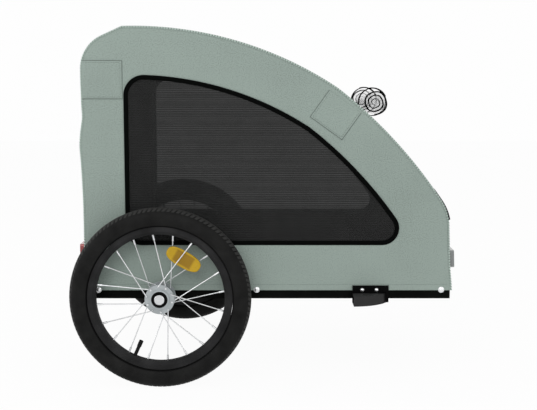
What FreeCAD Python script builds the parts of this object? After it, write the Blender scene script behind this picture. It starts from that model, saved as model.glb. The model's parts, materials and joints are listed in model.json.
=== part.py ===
import FreeCAD, Part
import math
import os

import Sketcher
from FreeCAD import Placement, Rotation, Vector

# Dog bike trailer. X points forward, Y to the trailer's left, Z up, and the ground is Z = 0.
# Lengths are in millimetres and angles in degrees. Distances along X are taken from the wheel axle.
SIZES = (
    # Wheels
    ("tyre_diameter", 400),
    ("tyre_width", 46),
    ("tyre_wall", 3.2),
    ("tread_thickness", 5),
    ("track", 650),
    ("rim_diameter", 318),
    ("rim_bore", 283),
    ("rim_width", 26),
    ("rim_wall", 1.8),
    ("rim_floor", 7),
    ("rim_crown_width", 14),
    ("bead_thickness", 3),
    ("tube_wall", 1.5),
    ("valve_diameter", 8),
    ("valve_reach", 36),
    ("valve_cap_diameter", 9.6),
    ("valve_cap_length", 14),
    ("valve_angle", -114),
    ("flange_diameter", 65),
    ("flange_thickness", 3),
    ("flange_span", 38),
    ("hub_length", 46),
    ("hub_boss_diameter", 43),
    ("hub_waist_diameter", 30),
    ("hub_bore", 18),
    ("bearing_diameter", 36),
    ("bearing_width", 10),
    ("bearing_recess", 6),
    ("spokes_per_flange", 10),
    ("spoke_diameter", 2.2),
    ("spoke_hole", 2.8),
    ("spoke_circle", 56),
    ("spoke_standoff", 1.4),
    ("spoke_head", 4.2),
    ("spoke_angle", 24),
    ("nipple_diameter", 4.2),
    ("nipple_length", 12),
    ("nipple_clearance", 0.6),
    ("wheel_reflector_length", 82),
    ("wheel_reflector_width", 36),
    ("wheel_reflector_thickness", 4),
    ("wheel_reflector_radius", 100),
    ("wheel_reflector_angle", 59),
    # Axles and release buttons
    ("axle_diameter", 12),
    ("axle_bore", 6.6),
    ("axle_bore_depth", 52),
    ("axle_insertion", 75),
    ("axle_collar_diameter", 17),
    ("collar_standout", 4),
    ("axle_nut_diameter", 19),
    ("axle_nut_thickness", 2.2),
    ("axle_tube_diameter", 20),
    ("button_diameter", 22),
    ("button_thickness", 3),
    ("button_travel", 4),
    ("button_stem_diameter", 6),
    ("button_stem_length", 30),
    ("button_edge", 0.8),
    ("spring_wire", 0.9),
    # Base frame
    ("ground_clearance", 189),
    ("rail_height", 30),
    ("rail_width", 20),
    ("rail_wall", 1.5),
    ("cap_thickness", 2.4),
    ("cap_plug", 14),
    ("floor_thickness", 4),
    # Hoops and crossbars
    ("hoop_diameter", 19),
    ("hoop_wall", 1.2),
    ("hoop_bend", 50),
    ("foot_length", 40),
    ("foot_thickness", 3),
    ("foot_stub", 10),
    ("foot_slack", 0.8),
    ("plug_length", 30),
    ("peg_diameter", 8),
    ("peg_length", 12),
    # Cover outline, seen from the side
    ("cabin_width", 564),
    ("cloth", 1.6),
    ("hem_height", 208),
    ("rear_overhang", 174),
    ("rear_straight_height", 699),
    ("chamfer_start_back", 127),
    ("chamfer_start_height", 772),
    ("roof_kink_back", 83),
    ("roof_kink_height", 792),
    ("slope_kink_ahead", 390),
    ("slope_kink_height", 658),
    ("knee_top_ahead", 622),
    ("knee_top_height", 410),
    ("knee_foot_ahead", 640.5),
    ("knee_foot_height", 353),
    ("front_overhang", 646),
    ("corner_radius", 80),
    ("roof_radius", 814),
    ("slope_radius", 1050),
    ("knee_radius", 110),
    ("slope_kink_angle", 35.5),
    # Side windows
    ("window_margin", 106),
    ("window_back", 80),
    ("window_sill_height", 310),
    ("window_top_corner", 45),
    ("window_front_corner", 38),
    ("window_rear_corner", 35),
    ("binding_width", 10),
    ("binding_thickness", 1.5),
    ("mesh_thickness", 0.8),
    # Sewn patches
    ("patch_thickness", 1),
    ("rear_patch_foot_height", 634),
    ("rear_patch_height", 83),
    ("patch_margin", 2),
    ("front_patch_length", 86),
    ("front_patch_depth", 72),
    ("front_patch_ahead", 30),
    ("front_patch_drop", 15),
    # Rear door and zips
    ("rear_door_width", 400),
    ("rear_door_foot_height", 240),
    ("rear_door_top_height", 640),
    ("rear_door_gap", 0.6),
    ("zip_width", 8),
    ("zip_thickness", 1),
    ("zip_offset", 2),
    ("slider_width", 9),
    ("slider_length", 14),
    ("slider_depth", 4),
    ("pull_width", 6),
    ("pull_length", 26),
    ("pull_thickness", 1.6),
    ("slider_start", 34),
    # Front mesh door, rolled rain cover and straps
    ("front_door_width", 474),
    ("front_door_top_ahead", 402),
    ("front_door_foot_height", 372),
    ("front_door_gap", 0.8),
    ("roll_ahead", 482),
    ("roll_radius", 31),
    ("roll_length", 350),
    ("roll_pitch", 6.4),
    ("roll_turns", 3),
    ("film_thickness", 1.4),
    ("strap_width", 25),
    ("strap_thickness", 1.4),
    ("strap_spacing", 210),
    # Reflectors
    ("front_reflector_width", 90),
    ("front_reflector_spread", 450),
    ("front_reflector_height", 39),
    ("front_reflector_drop", 57),
    ("rear_reflector_width", 50),
    ("rear_reflector_spread", 490),
    ("rear_reflector_height", 48),
    ("rear_reflector_foot_height", 262),
    ("reflector_depth", 10),
    ("reflector_corner", 5),
    # Bolts
    ("bolt_head_diameter", 14),
    ("bolt_head_height", 3.4),
    ("bolt_shank", 6),
    ("bolt_height", 209),
    ("bolt_reach", 9),
    ("rear_bolt_back", 143),
    ("middle_bolt_ahead", 211),
    ("front_bolt_ahead", 624),
    # Tow brackets
    ("bracket_rear_ahead", 425),
    ("bracket_length", 81),
    ("bracket_plate", 3),
    ("bracket_foot_height", 181),
    ("lip_length", 76),
    ("lip_reach", 45),
    ("lip_height", 22),
    ("tow_pin_bore", 10.4),
    ("tow_pin_ahead", 450),
    ("tow_pin_out", 24),
    ("bracket_bolt_head", 9),
    ("bracket_bolt_head_height", 3),
    ("first_bracket_bolt_ahead", 447),
    ("second_bracket_bolt_ahead", 479),
    # Clearances
    ("seat_gap", 0.3),
    ("running_gap", 0.05),
    ("cut_overrun", 2),
)
QUARTER_TURN = 90
FULL_TURN = 360

doc = FreeCAD.newDocument("DogBikeTrailer")
sheet = doc.addObject("Spreadsheet::Sheet", "Size")
for row, (alias, value) in enumerate(SIZES, start=1):
    sheet.set(f"A{row}", alias)
    sheet.set(f"B{row}", str(value))
    sheet.setAlias(f"B{row}", alias)
doc.recompute()
worked_out = doc.addObject("App::VarSet", "WorkedOut")


class Measure:
    """A size with its number and the formula over the sheet's cells that gives it."""

    def __init__(self, number, formula):
        self.number = float(number)
        self.formula = formula

    def __float__(self):
        return self.number

    def __neg__(self):
        return Measure(-self.number, f"-({self.formula})")

    def __add__(self, other):
        other = as_measure(other)
        return Measure(self.number + other.number, f"({self.formula} + {other.formula})")

    def __sub__(self, other):
        other = as_measure(other)
        return Measure(self.number - other.number, f"({self.formula} - {other.formula})")

    def __mul__(self, other):
        other = as_measure(other)
        return Measure(self.number * other.number, f"({self.formula} * {other.formula})")

    def __truediv__(self, other):
        other = as_measure(other)
        return Measure(self.number / other.number, f"({self.formula} / {other.formula})")


def as_measure(value):
    return value if isinstance(value, Measure) else Measure(value, str(value))


def size(alias):
    return Measure(sheet.get(alias), f"Size.{alias}")


def keep(name, value):
    """Store a worked-out size in the document under its own name."""
    worked_out.addProperty("App::PropertyFloat", name)
    worked_out.setExpression(name, value.formula)
    return Measure(value.number, f"WorkedOut.{name}")


def root(value):
    return Measure(math.sqrt(value.number), f"sqrt({value.formula})")


def sine(angle):
    return Measure(math.sin(math.radians(angle.number)), f"sin({angle.formula})")


def cosine(angle):
    return Measure(math.cos(math.radians(angle.number)), f"cos({angle.formula})")


def bind(item, **measures):
    for name, value in measures.items():
        value = as_measure(value)
        item.setExpression(name, value.formula)
        setattr(item, name, value.number)


def place(item, x, y, z, turn=None):
    if turn:
        item.Placement.Rotation = turn
    for axis, value in zip("xyz", (x, y, z)):
        item.setExpression(f"Placement.Base.{axis}", as_measure(value).formula)


ALONG_Y = Rotation(Vector(1, 0, 0), -QUARTER_TURN)
ALONG_MINUS_Y = Rotation(Vector(1, 0, 0), QUARTER_TURN)


def box(length, width, height, x, y, z, name="Block"):
    item = doc.addObject("Part::Box", name)
    bind(item, Length=length, Width=width, Height=height)
    place(item, x, y, z)
    return item


def rod(radius, length, x, y, z, turn=None, name="Rod"):
    item = doc.addObject("Part::Cylinder", name)
    bind(item, Radius=radius, Height=length)
    place(item, x, y, z, turn)
    return item


def cut(base, tool):
    item = doc.addObject("Part::Cut", "Cut")
    item.Base = base
    item.Tool = tool
    return item


def common(base, tool):
    item = doc.addObject("Part::Common", "Common")
    item.Base = base
    item.Tool = tool
    return item


def fuse(*items):
    item = doc.addObject("Part::MultiFuse", "Fuse")
    item.Shapes = list(items)
    return item


def group(*items):
    item = doc.addObject("Part::Compound", "Group")
    item.Links = list(items)
    return item


def mirror(item):
    """The left-hand twin of a right-hand piece."""
    twin = doc.addObject("Part::Mirroring", "Mirror")
    twin.Source = item
    twin.Normal = Vector(0, 1, 0)
    return twin


NODES = []


def node(item, label):
    item.Label = label
    NODES.append(item)
    return item


def pair(item, label):
    node(item, f"{label}_right")
    node(mirror(item), f"{label}_left")


def solid(shape, label):
    """A piece whose form needs sweeps or offsets, set straight from its shape."""
    item = doc.addObject("Part::Feature", label)
    item.Shape = shape
    return node(item, label)


def origin_plane(body, role):
    return next(plane for plane in body.Origin.OriginFeatures if plane.Role == role)


def arc_centre(start, end, radius, turn):
    """Centre of the arc from start to end. A turn of 1 runs clockwise, -1 the other way."""
    chord = end - start
    half = chord.Length / 2
    rise = math.sqrt(max(radius * radius - half * half, 0))
    side = Vector(chord.y, -chord.x, 0).normalize()
    return (start + end) * 0.5 + side * rise * turn


def draw_loop(sketch, corners):
    """Draw a closed loop. Each corner is (x, y) or (x, y, radius, turn) of the arc that leaves it."""
    points = [Vector(float(corner[0]), float(corner[1]), 0) for corner in corners]
    first = sketch.GeometryCount
    ends = []
    for index, corner in enumerate(corners):
        start = points[index]
        end = points[(index + 1) % len(points)]
        if len(corner) == 2:
            sketch.addGeometry(Part.LineSegment(start, end), False)
            ends.append((1, 2))
            continue
        radius, turn = corner[2:]
        centre = arc_centre(start, end, float(radius), turn)
        circle = Part.Circle(centre, Vector(0, 0, 1), float(radius))
        angles = [math.atan2(point.y - centre.y, point.x - centre.x) for point in (start, end)]
        if turn > 0:
            angles.reverse()
        if angles[1] < angles[0]:
            angles[1] += 2 * math.pi
        sketch.addGeometry(Part.ArcOfCircle(circle, *angles), False)
        ends.append((2, 1) if turn > 0 else (1, 2))
    for index, corner in enumerate(corners):
        edge = first + index
        following = (index + 1) % len(corners)
        sketch.addConstraint(
            Sketcher.Constraint("Coincident", edge, ends[index][1], first + following, ends[following][0]))
        for kind, value in (("DistanceX", corner[0]), ("DistanceY", corner[1])):
            value = as_measure(value)
            mark = sketch.addConstraint(
                Sketcher.Constraint(kind, -1, 1, edge, ends[index][0], value.number))
            sketch.setExpression(f"Constraints[{mark}]", value.formula)
        if len(corner) > 2:
            mark = sketch.addConstraint(Sketcher.Constraint("Radius", edge, float(corner[2])))
            sketch.setExpression(f"Constraints[{mark}]", corner[2].formula)


def sketch_on(body, role, *loops):
    sketch = body.newObject("Sketcher::SketchObject", "Outline")
    sketch.AttachmentSupport = [(origin_plane(body, role), "")]
    sketch.MapMode = "FlatFace"
    for loop in loops:
        draw_loop(sketch, loop)
    return sketch


def turned(name, corners, x, y, z):
    """A body turned about the wheel's axis. Corners are (radius, distance along the axis)."""
    body = doc.addObject("PartDesign::Body", name)
    sketch = sketch_on(body, "XY_Plane", corners)
    revolution = body.newObject("PartDesign::Revolution", "Turned")
    revolution.Profile = sketch
    revolution.ReferenceAxis = (sketch, ["V_Axis"])
    revolution.Angle = FULL_TURN
    place(body, x, y, z)
    return body


def plate(name, thickness, y, *loops):
    """A flat body cut to outlines in the side view. It grows outward, to the right, from y."""
    body = doc.addObject("PartDesign::Body", name)
    sketch = sketch_on(body, "XZ_Plane", *loops)
    pad = body.newObject("PartDesign::Pad", "Sheet")
    pad.Profile = sketch
    bind(pad, Length=thickness)
    place(body, axle_x, y, 0)
    return body


def mirrored_loop(half):
    """A loop about the wheel's mid plane from the corners of its upper half."""
    return half + [(radius, -across) for radius, across in reversed(half)]


# Main places
seat_gap = size("seat_gap")
running_gap = size("running_gap")
overrun = size("cut_overrun")
cloth = size("cloth")
nothing = size("seat_gap") * 0
tyre_radius = size("tyre_diameter") / 2
front_drop = size("knee_foot_height") - size("hem_height")
front_lean = size("front_overhang") - size("knee_foot_ahead")
front_run = keep("front_run", root(front_drop * front_drop + front_lean * front_lean))


def front_line(height):
    """How far the cover's front face lies ahead of the axle at a height."""
    return size("knee_foot_ahead") + front_lean * ((size("knee_foot_height") - height) / front_drop)


reflector_foot = keep("reflector_foot", size("knee_foot_height") - size("front_reflector_drop")
                      - size("front_reflector_height"))
reflector_seat = keep("reflector_seat", front_line(reflector_foot) + seat_gap)
front_reach = reflector_seat + size("reflector_depth") * (front_drop / front_run)
axle_x = keep("axle_x", (tyre_radius - front_reach) / 2)
axle_z = keep("axle_z", tyre_radius)
wheel_y = keep("wheel_y", -(size("track") / 2))
side_y = keep("side_y", size("cabin_width") / 2)
rail_outside_y = keep("rail_outside_y", side_y - cloth - seat_gap)
rail_inside_y = keep("rail_inside_y", rail_outside_y - size("rail_width"))
rail_z = size("ground_clearance")
rail_top = keep("rail_top", rail_z + size("rail_height"))
rear_x = keep("rear_x", axle_x - size("rear_overhang"))
rail_rear_x = keep("rail_rear_x", rear_x + cloth + seat_gap)
rail_front_x = keep("rail_front_x", axle_x + front_line(rail_top) - cloth - seat_gap)
rail_length = keep("rail_length", rail_front_x - rail_rear_x)
axle_tube_radius = size("axle_tube_diameter") / 2
deck_z = keep("deck_z", axle_z + axle_tube_radius)
hoop_radius = size("hoop_diameter") / 2
hoop_inset = keep("hoop_inset", cloth + seat_gap + hoop_radius)
hoop_y = keep("hoop_y", side_y - hoop_inset)
hoop_bore_radius = keep("hoop_bore_radius", hoop_radius - size("hoop_wall"))
crossbar_half = keep("crossbar_half", hoop_y - hoop_radius - seat_gap)


def bolt(ahead, head_diameter, head_height, face_y, reach):
    """A round-head bolt on the right side, with its head's flat underside at face_y."""
    head_radius = head_diameter / 2
    dome = (head_radius * head_radius + head_height * head_height) / (head_height * 2)
    cap = doc.addObject("Part::Sphere", "BoltHead")
    rise = (dome - head_height) / dome
    bind(cap, Radius=dome, Angle1=Measure(math.degrees(math.asin(rise.number)), f"asin({rise.formula})"))
    place(cap, axle_x + ahead, face_y + dome - head_height, size("bolt_height"), ALONG_MINUS_Y)
    shank = rod(size("bolt_shank") / 2, reach, axle_x + ahead, face_y, size("bolt_height"), ALONG_Y)
    return fuse(cap, shank)


def bolt_hole(ahead, depth):
    radius = size("bolt_shank") / 2 + seat_gap
    return rod(radius, depth, axle_x + ahead, -side_y - overrun, size("bolt_height"), ALONG_Y)


COVER_BOLTS = (-size("rear_bolt_back"), size("middle_bolt_ahead"), size("front_bolt_ahead"))
BRACKET_BOLTS = (size("first_bracket_bolt_ahead"), size("second_bracket_bolt_ahead"))

# Wheel sizes that more than one piece uses
rim_half = size("rim_width") / 2
rim_edge = size("rim_diameter") / 2
rim_foot = size("rim_bore") / 2
rim_bed = keep("rim_bed", rim_foot + size("rim_floor"))
rim_inside_half = rim_half - size("rim_wall")
valve_angle = size("valve_angle")
valve_way = Vector(cosine(valve_angle).number, 0, sine(valve_angle).number)
bead_half = rim_inside_half - seat_gap
shoulder = keep("tyre_shoulder", rim_edge + seat_gap)
widest = keep("tyre_widest", (shoulder + tyre_radius) / 2)
under_tread = tyre_radius - size("tread_thickness")
hub_half = size("hub_length") / 2
flange_face = size("flange_span") / 2
flange_back = flange_face - size("flange_thickness")
bearing_face = hub_half - size("bearing_recess")
bearing_back = bearing_face - size("bearing_width")
axle_radius = size("axle_diameter") / 2
nut_face = bearing_face + seat_gap + size("axle_nut_thickness")
axle_end = keep("axle_end", nut_face + seat_gap)
collar_end = keep("collar_end", hub_half + size("collar_standout"))
axle_bore_end = keep("axle_bore_end", axle_end - size("axle_bore_depth"))
button_back = keep("button_back", axle_end + size("button_travel") + seat_gap)
stem_end = keep("stem_end", button_back - size("button_stem_length"))


def make_rim():
    crown_half = size("rim_crown_width") / 2
    section = mirrored_loop([
        (rim_foot, crown_half),
        (rim_bed, rim_half),
        (rim_edge, rim_half),
        (rim_edge, rim_inside_half),
        (rim_bed, rim_inside_half),
    ])
    body = turned("Rim", section, axle_x, wheel_y, axle_z)
    hole = rod(size("valve_diameter") / 2 + seat_gap, rim_edge, axle_x, wheel_y, axle_z)
    hole.Placement.Rotation = Rotation(Vector(0, 0, 1), valve_way)
    pair(cut(body, hole), "rim")


def bulge(start, end, share):
    """Radius of a round stretch between two corners, as a share of the straight line between them."""
    run = end[0] - start[0]
    rise = end[1] - start[1]
    return root(run * run + rise * rise) * share


def make_tyre():
    lower_bulge_share = 0.95
    upper_bulge_share = 0.71
    section_half = size("tyre_width") / 2
    outer_shoulder = (shoulder, rim_half + seat_gap)
    outer_wide = (widest, section_half)
    crown = (tyre_radius, nothing)
    inner_shoulder = (shoulder, bead_half - size("bead_thickness"))
    inner_wide = (widest, section_half - size("tyre_wall"))
    inner_crown = (under_tread, nothing)
    bead_foot = rim_bed + seat_gap
    outer_low = keep("tyre_outer_low", bulge(outer_shoulder, outer_wide, lower_bulge_share))
    outer_high = keep("tyre_outer_high", bulge(outer_wide, crown, upper_bulge_share))
    inner_low = keep("tyre_inner_low", bulge(inner_shoulder, inner_wide, lower_bulge_share))
    inner_high = keep("tyre_inner_high", bulge(inner_wide, inner_crown, upper_bulge_share))

    def below(corner):
        return corner[0], -corner[1]

    section = [
        (bead_foot, inner_shoulder[1]),
        (bead_foot, bead_half),
        (shoulder, bead_half),
        (*outer_shoulder, outer_low, 1),
        (*outer_wide, outer_high, 1),
        (*crown, outer_high, 1),
        (*below(outer_wide), outer_low, 1),
        below(outer_shoulder),
        (shoulder, -bead_half),
        (bead_foot, -bead_half),
        (bead_foot, -inner_shoulder[1]),
        (*below(inner_shoulder), inner_low, -1),
        (*below(inner_wide), inner_high, -1),
        (*inner_crown, inner_high, -1),
        (*inner_wide, inner_low, -1),
        inner_shoulder,
    ]
    pair(turned("Tyre", section, axle_x, wheel_y, axle_z), "tyre")


def torus(ring_radius, section, x, y, z):
    item = doc.addObject("Part::Torus", "Ring")
    bind(item, Radius1=ring_radius, Radius2=section)
    place(item, x, y, z, ALONG_Y)
    return item


def make_inner_tube():
    tube_fill_share = 0.9
    ring_radius = (under_tread + shoulder) / 2
    section = (under_tread - shoulder) / 2 * tube_fill_share
    wheel = (axle_x, wheel_y, axle_z)
    tube = cut(torus(ring_radius, section, *wheel), torus(ring_radius, section - size("tube_wall"), *wheel))
    tip = rim_foot - size("valve_reach")
    foot = ring_radius - section + size("tube_wall") / 2

    def stem(radius, start, end):
        item = rod(radius, end - start, axle_x + cosine(valve_angle) * start, wheel_y,
                   axle_z + sine(valve_angle) * start)
        item.Placement.Rotation = Rotation(Vector(0, 0, 1), valve_way)
        return item

    valve = stem(size("valve_diameter") / 2, tip, foot)
    cap = stem(size("valve_cap_diameter") / 2, tip, tip + size("valve_cap_length"))
    pair(fuse(tube, valve, cap), "inner_tube")


def spoke_holes(body, start_angle, outward):
    """A ring of spoke holes through one flange of the hub."""
    circle_radius = size("spoke_circle") / 2
    sketch = body.newObject("Sketcher::SketchObject", "SpokeHole")
    sketch.AttachmentSupport = [(origin_plane(body, "XZ_Plane"), "")]
    sketch.MapMode = "FlatFace"
    x = circle_radius * cosine(start_angle)
    z = circle_radius * sine(start_angle)
    hole = size("spoke_hole") / 2
    edge = sketch.addGeometry(Part.Circle(Vector(x.number, z.number, 0), Vector(0, 0, 1), hole.number), False)
    for kind, value in (("DistanceX", x), ("DistanceY", z)):
        mark = sketch.addConstraint(Sketcher.Constraint(kind, -1, 1, edge, 3, value.number))
        sketch.setExpression(f"Constraints[{mark}]", value.formula)
    mark = sketch.addConstraint(Sketcher.Constraint("Radius", edge, hole.number))
    sketch.setExpression(f"Constraints[{mark}]", hole.formula)
    pocket = body.newObject("PartDesign::Pocket", "SpokeHolePocket")
    pocket.Profile = sketch
    bind(pocket, Length=hub_half)
    pocket.Reversed = outward
    doc.recompute()
    pattern = body.newObject("PartDesign::PolarPattern", "SpokeHoleRing")
    pattern.Originals = [pocket]
    pattern.Axis = (origin_plane(body, "Y_Axis"), [""])
    pattern.Angle = FULL_TURN
    pattern.setExpression("Occurrences", size("spokes_per_flange").formula)
    body.Tip = pattern
    doc.recompute()


spoke_step = Measure(FULL_TURN, str(FULL_TURN)) / size("spokes_per_flange")
outer_flange_angle = size("spoke_angle")
inner_flange_angle = size("spoke_angle") - spoke_step / 2


def make_hub():
    waist_share = 0.4
    boss = size("hub_boss_diameter") / 2
    flange = size("flange_diameter") / 2
    seat = size("bearing_diameter") / 2
    section = mirrored_loop([
        (size("hub_bore") / 2, bearing_back),
        (seat, bearing_back),
        (seat, hub_half),
        (boss, hub_half),
        (boss, flange_face),
        (flange, flange_face),
        (flange, flange_back),
        (boss, flange_back),
        (boss, bearing_back),
        (size("hub_waist_diameter") / 2, bearing_back * waist_share),
    ])
    body = turned("HubShell", section, axle_x, wheel_y, axle_z)
    doc.recompute()
    spoke_holes(body, outer_flange_angle, True)
    spoke_holes(body, inner_flange_angle, False)
    pair(body, "hub_shell")


def make_bearings():
    rings = []
    for start in (bearing_back, -bearing_face):
        outside = rod(size("bearing_diameter") / 2 - running_gap, size("bearing_width"),
                      axle_x, wheel_y + start, axle_z, ALONG_Y)
        bore = rod(axle_radius + running_gap, size("bearing_width"), axle_x, wheel_y + start, axle_z, ALONG_Y)
        rings.append(cut(outside, bore))
    pair(group(*rings), "hub_bearings")


def make_axle():
    inner_end = -(collar_end + seat_gap + size("axle_insertion"))
    bore = size("axle_bore") / 2
    collar = size("axle_collar_diameter") / 2
    stations = [
        (nothing, inner_end),
        (axle_radius, inner_end),
        (axle_radius, -collar_end),
        (collar, -collar_end),
        (collar, -(bearing_face + seat_gap)),
        (axle_radius, -(bearing_face + seat_gap)),
        (axle_radius, axle_end),
        (bore, axle_end),
        (bore, axle_bore_end),
        (nothing, axle_bore_end),
    ]
    outward = [(radius, -along) for radius, along in stations]
    pair(turned("Axle", outward, axle_x, wheel_y, axle_z), "axle")


def make_axle_nut():
    start = -nut_face
    thickness = size("axle_nut_thickness")
    outside = rod(size("axle_nut_diameter") / 2, thickness, axle_x, wheel_y + start, axle_z, ALONG_Y)
    bore = rod(axle_radius + running_gap, thickness, axle_x, wheel_y + start, axle_z, ALONG_Y)
    nut = cut(outside, bore)
    node(group(nut, mirror(nut)), "axle_nuts")


def make_button():
    stem = size("button_stem_diameter") / 2
    disc = size("button_diameter") / 2
    face = button_back + size("button_thickness")
    edge = size("button_edge")
    stations = [
        (nothing, stem_end),
        (stem, stem_end),
        (stem, button_back),
        (disc, button_back),
        (disc, face - edge),
        (disc - edge, face),
        (nothing, face),
    ]
    outward = [(radius, -along) for radius, along in stations]
    pair(turned("ReleaseButton", outward, axle_x, wheel_y, axle_z), "release_button")


def make_button_spring():
    length = stem_end - axle_bore_end - seat_gap * 2
    start = wheel_y - stem_end + seat_gap
    outside_radius = size("axle_bore") / 2 - seat_gap
    outside = rod(outside_radius, length, axle_x, start, axle_z, ALONG_Y)
    bore = rod(outside_radius - size("spring_wire"), length, axle_x, start, axle_z, ALONG_Y)
    pair(cut(outside, bore), "button_spring")


def radial(radius, angle, outward):
    """A point of the right-hand wheel, from its radius, angle from +X and distance outward."""
    turn = math.radians(angle)
    centre = Vector(axle_x.number, wheel_y.number, axle_z.number)
    return centre + Vector(radius * math.cos(turn), -outward, radius * math.sin(turn))


def spoke(hub_angle, rim_angle, side, outside):
    """One bent spoke: head and elbow in the flange, straight run, and nipple at the rim."""
    radius = float(size("spoke_diameter")) / 2
    clear = radius + float(seat_gap)
    standoff = float(size("spoke_standoff"))
    near = flange_face.number + clear + standoff if outside else flange_back.number - clear
    far = flange_back.number - clear if outside else flange_face.number + clear
    circle_radius = float(size("spoke_circle")) / 2
    elbow = radial(circle_radius, hub_angle, side * near)
    head = radial(circle_radius, hub_angle, side * far)
    rim_point = radial(rim_foot.number - float(size("nipple_clearance")), rim_angle, side * radius)
    run = rim_point - elbow
    way = Vector(run).normalize()
    along = Vector(head - elbow).normalize()
    pieces = [
        Part.makeSphere(radius, elbow),
        Part.makeCylinder(radius, (head - elbow).Length, elbow, along),
        Part.makeCylinder(float(size("spoke_head")) / 2, radius, head, along),
        Part.makeCylinder(float(size("nipple_diameter")) / 2, float(size("nipple_length")), rim_point, -way),
    ]
    return Part.makeCylinder(radius, run.Length, elbow, way).multiFuse(pieces)


def make_spokes():
    spokes = []
    for side, start in ((1, outer_flange_angle.number), (-1, inner_flange_angle.number)):
        for index in range(int(size("spokes_per_flange").number)):
            rim_angle = start + index * spoke_step.number
            crossing = 1 if index % 2 else -1
            spokes.append(spoke(rim_angle + crossing * spoke_step.number, rim_angle, side, index % 2 == 1))
    right_spokes = solid(Part.makeCompound(spokes), "spokes_right")
    node(mirror(right_spokes), "spokes_left")


def make_wheel_reflector():
    length = float(size("wheel_reflector_length"))
    width = float(size("wheel_reflector_width"))
    thickness = float(size("wheel_reflector_thickness"))
    half_run = (length - width) / 2
    middle = Part.makeBox(2 * half_run, thickness, width, Vector(-half_run, -thickness / 2, -width / 2))
    ends = [Part.makeCylinder(width / 2, thickness, Vector(x, -thickness / 2, 0), Vector(0, 1, 0))
            for x in (-half_run, half_run)]
    angle = float(size("wheel_reflector_angle"))
    reflector = solid(middle.multiFuse(ends).removeSplitter(), "wheel_reflector_right")
    reflector.Placement = Placement(radial(float(size("wheel_reflector_radius")), angle, 0),
                                    Rotation(Vector(0, 1, 0), QUARTER_TURN - angle))
    node(mirror(reflector), "wheel_reflector_left")


def make_side_rails():
    length = rail_length - size("cap_thickness") * 2
    start = rail_rear_x + size("cap_thickness")
    wall = size("rail_wall")
    outside = box(length, size("rail_width"), size("rail_height"), start, -rail_outside_y, rail_z)
    inside = box(length + overrun * 2, size("rail_width") - wall * 2, size("rail_height") - wall * 2,
                 start - overrun, -rail_outside_y + wall, rail_z + wall)
    axle_hole = rod(axle_tube_radius + seat_gap, size("rail_width") + overrun * 2,
                    axle_x, -rail_outside_y - overrun, axle_z, ALONG_Y)
    depth = cloth + seat_gap + wall + overrun * 2
    holes = [bolt_hole(ahead, depth) for ahead in COVER_BOLTS + BRACKET_BOLTS]
    pair(cut(outside, fuse(inside, axle_hole, *holes)), "base_rail")


def make_end_rails():
    wall = size("rail_wall")
    width = size("rail_width")
    height = deck_z - rail_z
    half = rail_inside_y - seat_gap
    for label, start in (("base_rear_rail", rail_rear_x), ("base_front_rail", rail_front_x - width)):
        outside = box(width, half * 2, height, start, -half, rail_z)
        inside = box(width - wall * 2, half * 2 + overrun * 2, height - wall * 2,
                     start + wall, -half - overrun, rail_z + wall)
        node(cut(outside, inside), label)


def make_rail_caps():
    wall = size("rail_wall") + seat_gap
    thickness = size("cap_thickness")
    ends = ((rail_rear_x, rail_rear_x), (rail_front_x - thickness, rail_front_x - thickness - size("cap_plug")))
    caps = []
    for start, plug_start in ends:
        flange = box(thickness, size("rail_width"), size("rail_height"), start, -rail_outside_y, rail_z)
        plug = box(thickness + size("cap_plug"), size("rail_width") - wall * 2, size("rail_height") - wall * 2,
                   plug_start, -rail_outside_y + wall, rail_z + wall)
        cap = fuse(flange, plug)
        caps += [cap, mirror(cap)]
    node(group(*caps), "rail_end_caps")


def make_axle_tube():
    half = -wheel_y - collar_end - seat_gap
    outside = rod(axle_tube_radius, half * 2, axle_x, -half, axle_z, ALONG_Y)
    bore = rod(axle_radius + running_gap, half * 2, axle_x, -half, axle_z, ALONG_Y)
    node(cut(outside, bore), "axle_tube")


def make_floor():
    half = rail_inside_y - seat_gap
    node(box(rail_length, half * 2, size("floor_thickness"), rail_rear_x, -half, deck_z + seat_gap), "floor_board")


# Cover outline in the side view, with X from the axle
def cover_outline(foot):
    return [
        (-size("rear_overhang"), foot),
        (-size("rear_overhang"), size("rear_straight_height"), size("corner_radius"), 1),
        (-size("chamfer_start_back"), size("chamfer_start_height")),
        (-size("roof_kink_back"), size("roof_kink_height"), size("roof_radius"), 1),
        (size("slope_kink_ahead"), size("slope_kink_height"), size("slope_radius"), 1),
        (size("knee_top_ahead"), size("knee_top_height"), size("knee_radius"), 1),
        (size("knee_foot_ahead"), size("knee_foot_height")),
        (front_line(foot), foot),
    ]


SIDE_VIEW = Placement(Vector(axle_x.number, 0, 0), Rotation(Vector(1, 0, 0), QUARTER_TURN))


def outline_face(foot):
    """The cover's side view as a flat face on the trailer's mid plane."""
    corners = cover_outline(foot)
    edges = []
    for index, corner in enumerate(corners):
        following = corners[(index + 1) % len(corners)]
        start = Vector(float(corner[0]), float(corner[1]), 0)
        end = Vector(float(following[0]), float(following[1]), 0)
        if len(corner) == 2:
            edges.append(Part.LineSegment(start, end).toShape())
            continue
        radius, turn = float(corner[2]), corner[3]
        centre = arc_centre(start, end, radius, turn)
        middle = centre + ((start + end) * 0.5 - centre).normalize() * radius
        edges.append(Part.Arc(start, middle, end).toShape())
    face = Part.Face(Part.Wire(edges))
    face.Placement = SIDE_VIEW
    return face


TANGENT_JOIN = 1


def shifted(face, distance):
    return face.makeOffset2D(distance, TANGENT_JOIN) if distance else face


def cover_strip(outside, inside, half_width):
    """A band of cover across the trailer, between two distances out from the cover's outline."""
    face = outline_face(rail_z)
    ring = shifted(face, outside).cut(shifted(face, inside))
    ring.translate(Vector(0, -half_width, 0))
    return ring.extrude(Vector(0, 2 * half_width, 0))


def block(x_start, x_end, half_width, z_start, z_end):
    corner = Vector(x_start, -half_width, z_start)
    return Part.makeBox(x_end - x_start, 2 * half_width, z_end - z_start, corner)


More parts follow.
